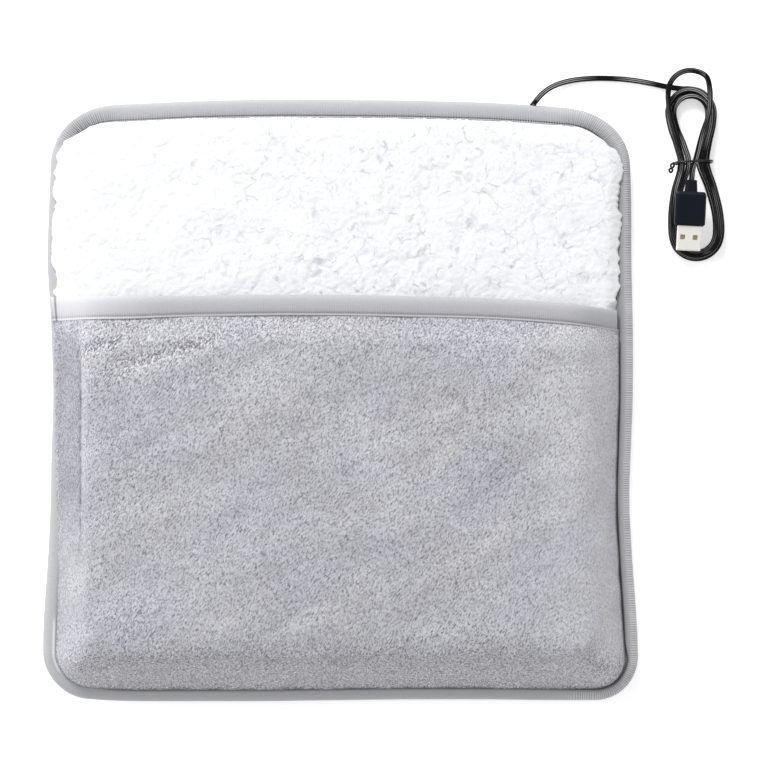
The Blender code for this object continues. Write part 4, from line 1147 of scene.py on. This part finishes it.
def flat_layer(name, node, low_z, high_z, seed):
    # A layer with round corners over the box of its solid, hardly wavy
    low_corner, high_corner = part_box(node)
    middle = (low_corner + high_corner) / 2
    half_x, half_y = ((high - low) / 2 for low, high in zip(low_corner[:2], high_corner[:2]))
    rows = np.linspace(-half_y, half_y, layer_points)
    past = np.clip(np.abs(rows) - (half_y - layer_corner), 0, layer_corner)
    half = half_x - (layer_corner - np.sqrt(layer_corner ** 2 - past ** 2))
    x = half[:, None] * np.linspace(-1, 1, layer_points + 1)[None, :]
    y = np.broadcast_to(rows[:, None], x.shape)
    wave = layer_wave * noise_field(x, y, 12 * mm, seed)
    over, under = (np.stack([x + middle.x, y + middle.y, level + wave], 2)
                   for level in (high_z - layer_wave, low_z + layer_wave))
    layer = closed_sheet(name, over, under)
    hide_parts(node)
    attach(layer, "base")
    return layer


base_layer = flat_layer("base_wadding_layer", "base_wadding", 1.8 * mm, 5.3 * mm, 81.0)
lower_sheet = flat_layer("carrier_sheet_lower", "heater_carrier_lower", 5.6 * mm, 6.4 * mm, 84.0)
upper_sheet = flat_layer("carrier_sheet_upper", "heater_carrier_upper", 8.6 * mm, 9.4 * mm, 87.0)
print("underside points:", len(underside.data.vertices))

# %% [markdown]
# The lead's rubber sleeve sits in the seam, so it moves with the hand-sewn edge: only its rim
# shows beside the tape.

# %% The outlet's sleeve
sleeve_outer, sleeve_bore, sleeve_length = 4.4 * mm, 3.3 * mm, 15 * mm
sleeve_sunk = 0.8 * mm
sleeve_points = 28
edge_down = hand_sewn(np.array([sleeve_mouth.x]), np.array([sleeve_mouth.y]))[1][0] - sleeve_mouth.y
rim = sleeve_mouth + Vector((0, edge_down, 0)) - exit_along * sleeve_sunk
sleeve_profile = [(sleeve_length, sleeve_bore), (sleeve_length, sleeve_outer), (0.3 * mm, sleeve_outer),
                  (0.08 * mm, sleeve_outer - 0.14 * mm), (0.0, sleeve_outer - 0.4 * mm),
                  (0.0, sleeve_bore + 0.2 * mm), (0.2 * mm, sleeve_bore)]
exit_side = exit_along.cross(Vector((0, 0, 1)))
sleeve_rings = []
for back, wide in sleeve_profile:
    circle = twin_section(wide, wide, sleeve_points)
    sleeve_rings.append([rim - exit_along * back + exit_side * a + Vector((0, 0, b)) for a, b in circle])
sleeve = skinned_rings("outlet_sleeve", sleeve_rings, closed=True)
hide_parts("cord_outlet")
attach(sleeve, "base")
print("sleeve points:", len(sleeve.data.vertices))

# %% [markdown]
# ## Bending with the front
# When the front lifts, it stays sewn down along the toe seam. Its pieces belong to the base
# at the bottom of the seam and to the lifting front above it, with a smooth turn between.

# %% The front bends at its seam
bending = (front_cover, roof_pile, front_wadding, mouth_tape)
for piece in bending:
    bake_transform(piece, "base", "pocket_front", start=(0, 0, 12 * mm), end=(0, 0, 34 * mm))
print("bending pieces:", [piece.name for piece in bending])

# %% [markdown]
# ## Materials
# Each material is its own Principled shader with its own colour and gloss. What several of
# them share, such as a fibrous grain or a fine weave, is a node group that puts out only a
# mask and a bent normal. Sizes in the groups are in waves per metre, because the objects
# are at real size.

# %% Node helpers
def start_group(name, inputs, outputs):
    group = bpy.data.node_groups.new(name, "ShaderNodeTree")
    for label, default in inputs:
        kind = "NodeSocketVector" if default is None else "NodeSocketFloat"
        socket = group.interface.new_socket(label, in_out="INPUT", socket_type=kind)
        if default is not None:
            socket.default_value = default
    for label in outputs:
        kind = "NodeSocketVector" if label == "Normal" else "NodeSocketFloat"
        group.interface.new_socket(label, in_out="OUTPUT", socket_type=kind)
    return group, group.nodes.new("NodeGroupInput"), group.nodes.new("NodeGroupOutput")


def fill_socket(tree, socket, value):
    # A number is typed in, and another node's output is linked
    if isinstance(value, (int, float)):
        socket.default_value = value
    else:
        tree.links.new(value, socket)


def math_node(tree, operation, first, second=None, clamp=False):
    node = tree.nodes.new("ShaderNodeMath")
    node.operation = operation
    node.use_clamp = clamp
    fill_socket(tree, node.inputs[0], first)
    if second is not None:
        fill_socket(tree, node.inputs[1], second)
    return node.outputs[0]


def times(tree, first, second):
    return math_node(tree, "MULTIPLY", first, second)


def plus(tree, first, second, clamp=False):
    return math_node(tree, "ADD", first, second, clamp)


def mark_value(tree, mark):
    # A mark that the mesh carries, read at each point
    node = tree.nodes.new("ShaderNodeAttribute")
    node.attribute_name = mark
    return node.outputs["Fac"]


def remap(tree, value, low, high, to_low, to_high):
    node = tree.nodes.new("ShaderNodeMapRange")
    tree.links.new(value, node.inputs["Value"])
    values = {"From Min": low, "From Max": high, "To Min": to_low, "To Max": to_high}
    for label, value in values.items():
        node.inputs[label].default_value = value
    return node.outputs["Result"]


def noise_node(tree, vector, scale, detail=2.0, roughness=0.5, distortion=0.0):
    node = tree.nodes.new("ShaderNodeTexNoise")
    tree.links.new(vector, node.inputs["Vector"])
    values = {"Scale": scale, "Detail": detail, "Roughness": roughness, "Distortion": distortion}
    for label, value in values.items():
        fill_socket(tree, node.inputs[label], value)
    return node.outputs["Fac"]


def bump_node(tree, height, strength, distance):
    node = tree.nodes.new("ShaderNodeBump")
    tree.links.new(height, node.inputs["Height"])
    fill_socket(tree, node.inputs["Strength"], strength)
    fill_socket(tree, node.inputs["Distance"], distance)
    return node.outputs["Normal"]


# %% [markdown]
# Four effects are shared: short tangled fibres, a plain weave, broad patches such as pile
# brushed this way and that, and the thin broken lines where a pile parts, used as painted shade.

# %% Shared effects
def fibre_group():
    # Short tangled fibres: a mask of light tips and dark gaps, and the normal that they bend
    tree, entry, leave = start_group(
        "fibre_pile", [("Vector", None), ("Tufts per metre", 500.0), ("Bump metres", 0.0005)],
        ["Tips", "Normal"])
    tufts = noise_node(tree, entry.outputs["Vector"], entry.outputs["Tufts per metre"], 3.0, 0.62, 0.9)
    fine = times(tree, entry.outputs["Tufts per metre"], 2.7)
    hairs = noise_node(tree, entry.outputs["Vector"], fine, 2.0, 0.6, 1.4)
    both = plus(tree, times(tree, tufts, 0.65), times(tree, hairs, 0.35))
    tree.links.new(remap(tree, both, 0.36, 0.64, 0.0, 1.0), leave.inputs["Tips"])
    tree.links.new(bump_node(tree, both, 1.0, entry.outputs["Bump metres"]), leave.inputs["Normal"])
    return tree


def weave_group():
    # A fine plain weave: threads over and under in both directions
    tree, entry, leave = start_group(
        "plain_weave", [("Vector", None), ("Threads per metre", 2500.0), ("Bump metres", 0.0001)],
        ["Threads", "Normal"])
    split = tree.nodes.new("ShaderNodeSeparateXYZ")
    tree.links.new(entry.outputs["Vector"], split.inputs[0])
    rate = times(tree, entry.outputs["Threads per metre"], 2 * math.pi)
    wobble = noise_node(tree, entry.outputs["Vector"], 260.0, 2.0, 0.5, 0.0)
    waves = []
    for axis in ("X", "Y"):
        place = plus(tree, times(tree, split.outputs[axis], rate), times(tree, wobble, 1.5))
        waves.append(math_node(tree, "SINE", place))
    both = times(tree, waves[0], waves[1])
    tree.links.new(remap(tree, both, -1.0, 1.0, 0.0, 1.0), leave.inputs["Threads"])
    tree.links.new(bump_node(tree, both, 1.0, entry.outputs["Bump metres"]), leave.inputs["Normal"])
    return tree


def patch_group():
    # Soft patches, from one to a few centimetres across
    tree, entry, leave = start_group(
        "broad_patches", [("Vector", None), ("Patches per metre", 30.0)], ["Patch"])
    broad = noise_node(tree, entry.outputs["Vector"], entry.outputs["Patches per metre"], 3.0, 0.55, 0.4)
    tree.links.new(remap(tree, broad, 0.32, 0.68, 0.0, 1.0), leave.inputs["Patch"])
    return tree


def parting_group():
    # Thin broken lines where the pile parts between tufts: a mask for painted shade
    tree, entry, leave = start_group(
        "pile_parting_shade", [("Vector", None), ("Tufts per metre", 90.0), ("Line share", 0.04)], ["Line"])
    warp = tree.nodes.new("ShaderNodeTexNoise")
    warp.inputs["Scale"].default_value = 150.0
    warp.inputs["Detail"].default_value = 3.0
    tree.links.new(entry.outputs["Vector"], warp.inputs["Vector"])
    push = tree.nodes.new("ShaderNodeVectorMath")
    push.operation = "MULTIPLY_ADD"
    tree.links.new(warp.outputs["Color"], push.inputs[0])
    push.inputs[1].default_value = (0.012, 0.012, 0.0)
    tree.links.new(entry.outputs["Vector"], push.inputs[2])
    cells = tree.nodes.new("ShaderNodeTexVoronoi")
    cells.feature = "DISTANCE_TO_EDGE"
    tree.links.new(push.outputs[0], cells.inputs["Vector"])
    tree.links.new(entry.outputs["Tufts per metre"], cells.inputs["Scale"])
    ratio = math_node(tree, "DIVIDE", cells.outputs["Distance"], entry.outputs["Line share"])
    line = remap(tree, ratio, 0.3, 1.0, 1.0, 0.0)
    broken = remap(tree, noise_node(tree, entry.outputs["Vector"], 170.0, 2.0, 0.6, 0.5), 0.5, 0.62, 0.0, 1.0)
    tree.links.new(times(tree, line, broken), leave.inputs["Line"])
    return tree


fibre_pile = fibre_group()
plain_weave = weave_group()
broad_patches = patch_group()
pile_parting_shade = parting_group()
print("shared effects:", fibre_pile.name, plain_weave.name, broad_patches.name, pile_parting_shade.name)

# %% [markdown]
# A material starts from the same few nodes: object coordinates, a group or two, and colours
# mixed by their masks.

# %% Material helpers
def start_material(name, roughness, metallic=0.0, specular=0.5):
    material = bpy.data.materials.new(name)
    material.use_nodes = True
    tree = material.node_tree
    shader = tree.nodes["Principled BSDF"]
    shader.inputs["Roughness"].default_value = roughness
    shader.inputs["Metallic"].default_value = metallic
    shader.inputs["Specular IOR Level"].default_value = specular
    coordinates = tree.nodes.new("ShaderNodeTexCoord").outputs["Object"]
    return material, tree, shader, coordinates


def use_group(tree, group, coordinates, **values):
    node = tree.nodes.new("ShaderNodeGroup")
    node.node_tree = group
    tree.links.new(coordinates, node.inputs["Vector"])
    for label, value in values.items():
        node.inputs[label.replace("_", " ")].default_value = value
    return node


def mix_colours(tree, mask, low, high):
    node = tree.nodes.new("ShaderNodeMix")
    node.data_type = "RGBA"
    node.clamp_factor = True
    tree.links.new(mask, node.inputs["Factor"])
    for label, colour in (("A", low), ("B", high)):
        socket = [s for s in node.inputs if s.name == label and s.type == "RGBA"][0]
        if isinstance(colour, tuple):
            socket.default_value = (*colour, 1.0)
        else:
            tree.links.new(colour, socket)
    return [s for s in node.outputs if s.type == "RGBA"][0]


def finish_colour(tree, shader, colour, normal):
    tree.links.new(colour, shader.inputs["Base Color"])
    tree.links.new(normal, shader.inputs["Normal"])


def stretched_vector(tree, coordinates, scale, turn=0.0):
    node = tree.nodes.new("ShaderNodeMapping")
    node.vector_type = "TEXTURE"
    node.inputs["Scale"].default_value = scale
    node.inputs["Rotation"].default_value = (0, 0, turn)
    tree.links.new(coordinates, node.inputs["Vector"])
    return node.outputs["Vector"]


# %% [markdown]
# ## Cloths
# The sherpa is white, with painted blue-grey shade in its creases and partings. Its mesh
# carries two marks: the depth of the creases, and where partings may show.

# %% Sherpa
sherpa_shade = (0.79, 0.80, 0.82)
sherpa_light = (0.835, 0.84, 0.853)
sherpa_crease_shade = (0.42, 0.45, 0.50)


def sherpa_material():
    material, tree, shader, place = start_material("sherpa_pile", 0.95, specular=0.15)
    shader.inputs["Sheen Weight"].default_value = 0.15
    pile = use_group(tree, fibre_pile, place, Tufts_per_metre=420.0, Bump_metres=0.0003)
    white = mix_colours(tree, pile.outputs["Tips"], sherpa_shade, sherpa_light)
    long_lines = use_group(tree, pile_parting_shade, place, Tufts_per_metre=85.0, Line_share=0.045)
    short_lines = use_group(tree, pile_parting_shade, stretched_vector(tree, place, (1.0, 1.3, 1.0), 0.6),
                            Tufts_per_metre=190.0, Line_share=0.07)
    faint = times(tree, short_lines.outputs["Line"], 0.5)
    lines = math_node(tree, "MAXIMUM", long_lines.outputs["Line"], faint)
    # Painted shade: the partings and the creases of the pile are mixed towards blue-grey
    thin = times(tree, times(tree, lines, mark_value(tree, "parting_shade")), 0.6)
    crease_and_parting_shade = plus(tree, thin, times(tree, mark_value(tree, "crease_shade"), 0.25), clamp=True)
    finish_colour(tree, shader, mix_colours(tree, crease_and_parting_shade, white, sherpa_crease_shade), pile.outputs["Normal"])
    return material


sherpa = sherpa_material()
print("made:", sherpa.name)

# %% [markdown]
# The plush is lavender grey. Its nap lies this way and that, so that it has warmer and
# cooler patches, and its strokes slant. Its folds get painted shade, broken up by the nap,
# with painted highlights on the nap's tips. It gets painted light on the right, a painted
# shadow at the seam, and painted shade with a bluer tint on the turned band at the left.

# %% Plush
warm_nap, cool_nap = (0.645, 0.645, 0.677), (0.61, 0.61, 0.693)
warm_gap, cool_gap = (0.135, 0.135, 0.145), (0.118, 0.117, 0.148)
lit_nap = (0.84, 0.84, 0.88)
fold_shade_colour = (0.125, 0.12, 0.155)
fold_tip_highlight = (0.86, 0.86, 0.89)
seam_shadow_colour = (0.03, 0.03, 0.038)
stroke_slant = math.radians(-32)
patch_slant = math.radians(-50)
swath_slant = math.radians(-62)


def plush_material():
    material, tree, shader, place = start_material("front_plush_cloth", 0.9, specular=0.2)
    shader.inputs["Sheen Weight"].default_value = 0.25
    shader.inputs["Sheen Roughness"].default_value = 0.5
    slanted = stretched_vector(tree, place, (1.0, 2.8, 1.0), stroke_slant)
    pile = use_group(tree, fibre_pile, slanted, Tufts_per_metre=1800.0, Bump_metres=0.00055)
    patch = use_group(tree, broad_patches, stretched_vector(tree, place, (1.0, 1.5, 1.0), patch_slant),
                      Patches_per_metre=26.0)
    band_shade_mask, painted_light, seam_shadow, fold_shade_and_highlight = (mark_value(tree, mark) for mark in ("left_band_shade", "painted_light", "seam_shadow", "fold_shade_and_highlight"))
    cool = plus(tree, times(tree, patch.outputs["Patch"], 0.7), band_shade_mask, clamp=True)
    wide = mix_colours(tree, cool, warm_nap, cool_nap)
    dark = mix_colours(tree, cool, warm_gap, cool_gap)
    swath = use_group(tree, broad_patches, stretched_vector(tree, place, (1.0, 2.6, 1.0), swath_slant),
                      Patches_per_metre=70.0)
    sharp = remap(tree, pile.outputs["Tips"], 0.12, 0.62, 0.0, 1.0)
    brushed = times(tree, remap(tree, swath.outputs["Patch"], 0.0, 1.0, 0.78, 1.04), sharp)
    nap = mix_colours(tree, brushed, dark, wide)
    # Painted light: the nap is mixed towards a lit colour where the mark says
    lit = mix_colours(tree, times(tree, painted_light, 0.2), nap, lit_nap)
    rough_tips = remap(tree, pile.outputs["Tips"], 0.35, 0.6, 1.0, 0.0)
    # Painted shade in the folds, broken up by the nap
    fold_shade_depth = times(tree, fold_shade_and_highlight, plus(tree, times(tree, rough_tips, 0.68), 0.08))
    # Painted shade on the turned band at the left
    band_shade_depth = times(tree, band_shade_mask, plus(tree, times(tree, rough_tips, 0.42), 0.31))
    fold_core_shade = remap(tree, fold_shade_and_highlight, 0.8, 1.0, 0.0, 0.34)
    shaded = plus(tree, plus(tree, fold_shade_depth, fold_core_shade), band_shade_depth, clamp=True)
    folded_shade_and_highlight = mix_colours(tree, shaded, lit, fold_shade_colour)
    # Painted highlights on the nap's tips in the folds
    tip_highlight = remap(tree, pile.outputs["Tips"], 0.42, 0.7, 0.0, 0.92)
    folded_shade_and_highlight = mix_colours(tree, times(tree, fold_shade_and_highlight, tip_highlight), folded_shade_and_highlight, fold_tip_highlight)
    # Painted shadow at the seam and along the crease
    colour = mix_colours(tree, seam_shadow, folded_shade_and_highlight, seam_shadow_colour)
    finish_colour(tree, shader, colour, pile.outputs["Normal"])
    return material


plush = plush_material()
print("made:", plush.name)

# %% [markdown]
# The tape is a smooth grey cloth of short fibres. Its mesh marks painted shade in the grooves
# between the ribs, and painted light where its nap would face the light. The underside and the
# heater's sheets are woven, and the wadding is a loose white felt.

# %% Tape, weaves and wadding
# The colour of the painted light on the tapes
painted_light_tape = (0.82, 0.82, 0.84)
wadding_shade, wadding_light = (0.70, 0.70, 0.69), (0.86, 0.86, 0.85)


def tape_material(name, light, dark, groove_shade):
    material, tree, shader, place = start_material(name, 0.72, specular=0.3)
    shader.inputs["Sheen Weight"].default_value = 0.1
    pile = use_group(tree, fibre_pile, place, Tufts_per_metre=1500.0, Bump_metres=0.00008)
    cloth = mix_colours(tree, pile.outputs["Tips"], dark, light)
    cloth = mix_colours(tree, mark_value(tree, "painted_light"), cloth, painted_light_tape)
    # Painted shade in the grooves, from the mark on the mesh
    depth = remap(tree, mark_value(tree, "groove_shade"), 0.0, 0.9, 0.0, 1.0)
    finish_colour(tree, shader, mix_colours(tree, depth, cloth, groove_shade), pile.outputs["Normal"])
    return material


def woven_material(name, light, dark, threads, depth, roughness=0.85):
    material, tree, shader, place = start_material(name, roughness, specular=0.2)
    weave = use_group(tree, plain_weave, place, Threads_per_metre=threads, Bump_metres=depth)
    patch = use_group(tree, broad_patches, place, Patches_per_metre=60.0)
    mask = plus(tree, times(tree, weave.outputs["Threads"], 0.7), times(tree, patch.outputs["Patch"], 0.3))
    finish_colour(tree, shader, mix_colours(tree, mask, dark, light), weave.outputs["Normal"])
    return material


def wadding_material():
    material, tree, shader, place = start_material("wadding_fibres", 0.95, specular=0.1)
    pile = use_group(tree, fibre_pile, place, Tufts_per_metre=240.0, Bump_metres=0.0006)
    colour = mix_colours(tree, pile.outputs["Tips"], wadding_shade, wadding_light)
    finish_colour(tree, shader, colour, pile.outputs["Normal"])
    return material


tape = tape_material("tape_cloth", (0.46, 0.462, 0.478), (0.385, 0.387, 0.402), (0.05, 0.05, 0.056))
mouth_cloth = tape_material("mouth_tape_cloth", (0.465, 0.466, 0.486), (0.40, 0.401, 0.42),
                            (0.06, 0.06, 0.066))
backing = woven_material("underside_weave", (0.30, 0.30, 0.328), (0.235, 0.235, 0.262), 1100.0, 0.00012)
carrier = woven_material("carrier_weave", (0.74, 0.76, 0.74), (0.58, 0.61, 0.59), 900.0, 0.00012)
wadding = wadding_material()
print("made:", [cloth.name for cloth in (tape, mouth_cloth, backing, carrier, wadding)])

# %% [markdown]
# ## Plastics, rubber and metal
# The lead's sheath is glossy black, the plug's grip a little duller with a fine spark-eroded
# grain. The plug's shell is nickel on steel, bright and slightly warm, with faint scuffs.

# %% Hard materials
def smooth_material(name, light, dark, roughness, grain, depth, metallic=0.0, specular=0.5, mark=None):
    # A hard surface with a faint grain; a mark on its mesh can paint a pale highlight on it
    material, tree, shader, place = start_material(name, roughness, metallic, specular)
    pile = use_group(tree, fibre_pile, place, Tufts_per_metre=grain, Bump_metres=depth)
    colour = mix_colours(tree, pile.outputs["Tips"], dark, light)
    if mark:
        colour = mix_colours(tree, mark_value(tree, mark), colour, highlight_colour)
    finish_colour(tree, shader, colour, pile.outputs["Normal"])
    gloss = remap(tree, pile.outputs["Tips"], 0.0, 1.0, roughness + 0.06, roughness - 0.04)
    tree.links.new(gloss, shader.inputs["Roughness"])
    return material


highlight_colour = (0.5, 0.5, 0.51)
# Light and dark colour, roughness, grain per metre and its depth in metres; then, where they
# aren't plain, how metallic it is, how much it mirrors, and the mark of its painted highlights
hard_looks = {
    "lead_sheath": ((0.003, 0.003, 0.004), (0.002, 0.002, 0.003), 0.16, 260.0, 0.00001, 0.0, 0.16, "crest_highlight"),
    "tie_sheath": ((0.008, 0.008, 0.009), (0.005, 0.005, 0.006), 0.25, 900.0, 0.00002, 0.0, 0.4),
    "plug_grip": ((0.005, 0.007, 0.012), (0.003, 0.005, 0.009), 0.4, 3200.0, 0.00002, 0.0, 0.12),
    "outlet_rubber": ((0.028, 0.028, 0.030), (0.020, 0.020, 0.022), 0.55, 1500.0, 0.00003),
    "nickel_plate": ((1.0, 0.98, 0.92), (0.94, 0.92, 0.87), 0.38, 500.0, 0.00001, 0.8),
    "tongue_insulator": ((0.86, 0.86, 0.84), (0.80, 0.80, 0.78), 0.45, 1200.0, 0.00001),
    "gilt_contact": ((0.62, 0.44, 0.17), (0.54, 0.38, 0.15), 0.28, 1500.0, 0.00001, 1.0),
    "heater_sheath": ((0.76, 0.27, 0.13), (0.68, 0.22, 0.10), 0.42, 700.0, 0.00003),
    "feed_red": ((0.62, 0.05, 0.04), (0.54, 0.04, 0.03), 0.40, 700.0, 0.00002),
    "feed_black": ((0.020, 0.020, 0.022), (0.014, 0.014, 0.016), 0.40, 700.0, 0.00002),
    "splice_tin": ((0.74, 0.72, 0.66), (0.66, 0.64, 0.59), 0.36, 900.0, 0.00003, 1.0),
    "cutout_can": ((0.66, 0.64, 0.60), (0.58, 0.56, 0.52), 0.38, 700.0, 0.00003, 1.0)}
hard = {name: smooth_material(name, *look) for name, look in hard_looks.items()}
print("hard materials:", len(hard))

# %% [markdown]
# ## Dressing
# Every made piece and every solid gets its material.

# %% Dress the pieces
def dress(obj, material):
    if obj.material_slots:
        for slot in obj.material_slots:
            slot.material = material
    else:
        obj.data.materials.append(material)


for obj, material, slot_name in (
        (base_pile, sherpa, "white_pile"), (roof_pile, sherpa, "white_pile"),
        (front_cover, plush, "front_plush"), (front_wadding, wadding, "wadding"),
        (mouth_tape, mouth_cloth, "grey_tape"), (edge_tape, tape, "grey_tape"),
        (underside, backing, "backing_cloth"), (base_layer, wadding, "wadding"),
        (lower_sheet, carrier, "carrier_cloth"), (upper_sheet, carrier, "carrier_cloth"),
        (lead_piece, hard["lead_sheath"], "black_sheath"), (tie_piece, hard["tie_sheath"], "tie_sheath"),
        (sleeve, hard["outlet_rubber"], "black_rubber")):
    dress(obj, material)
for node, look in (
        ("heating_wire", "heater_sheath"), ("crimp_splice_left", "splice_tin"),
        ("crimp_splice_right", "splice_tin"), ("thermal_cutout", "cutout_can"), ("link_wire", "feed_black"),
        ("feed_wire_red", "feed_red"), ("feed_wire_black", "feed_black"), ("lead_tail", "lead_sheath"),
        ("plug_body", "plug_grip"), ("plug_shell", "nickel_plate"), ("plug_tongue", "tongue_insulator"),
        *((f"plug_contact_{k}", "gilt_contact") for k in range(1, 5))):
    dress(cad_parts[node], hard[look])
print("materials:", len(bpy.data.materials))
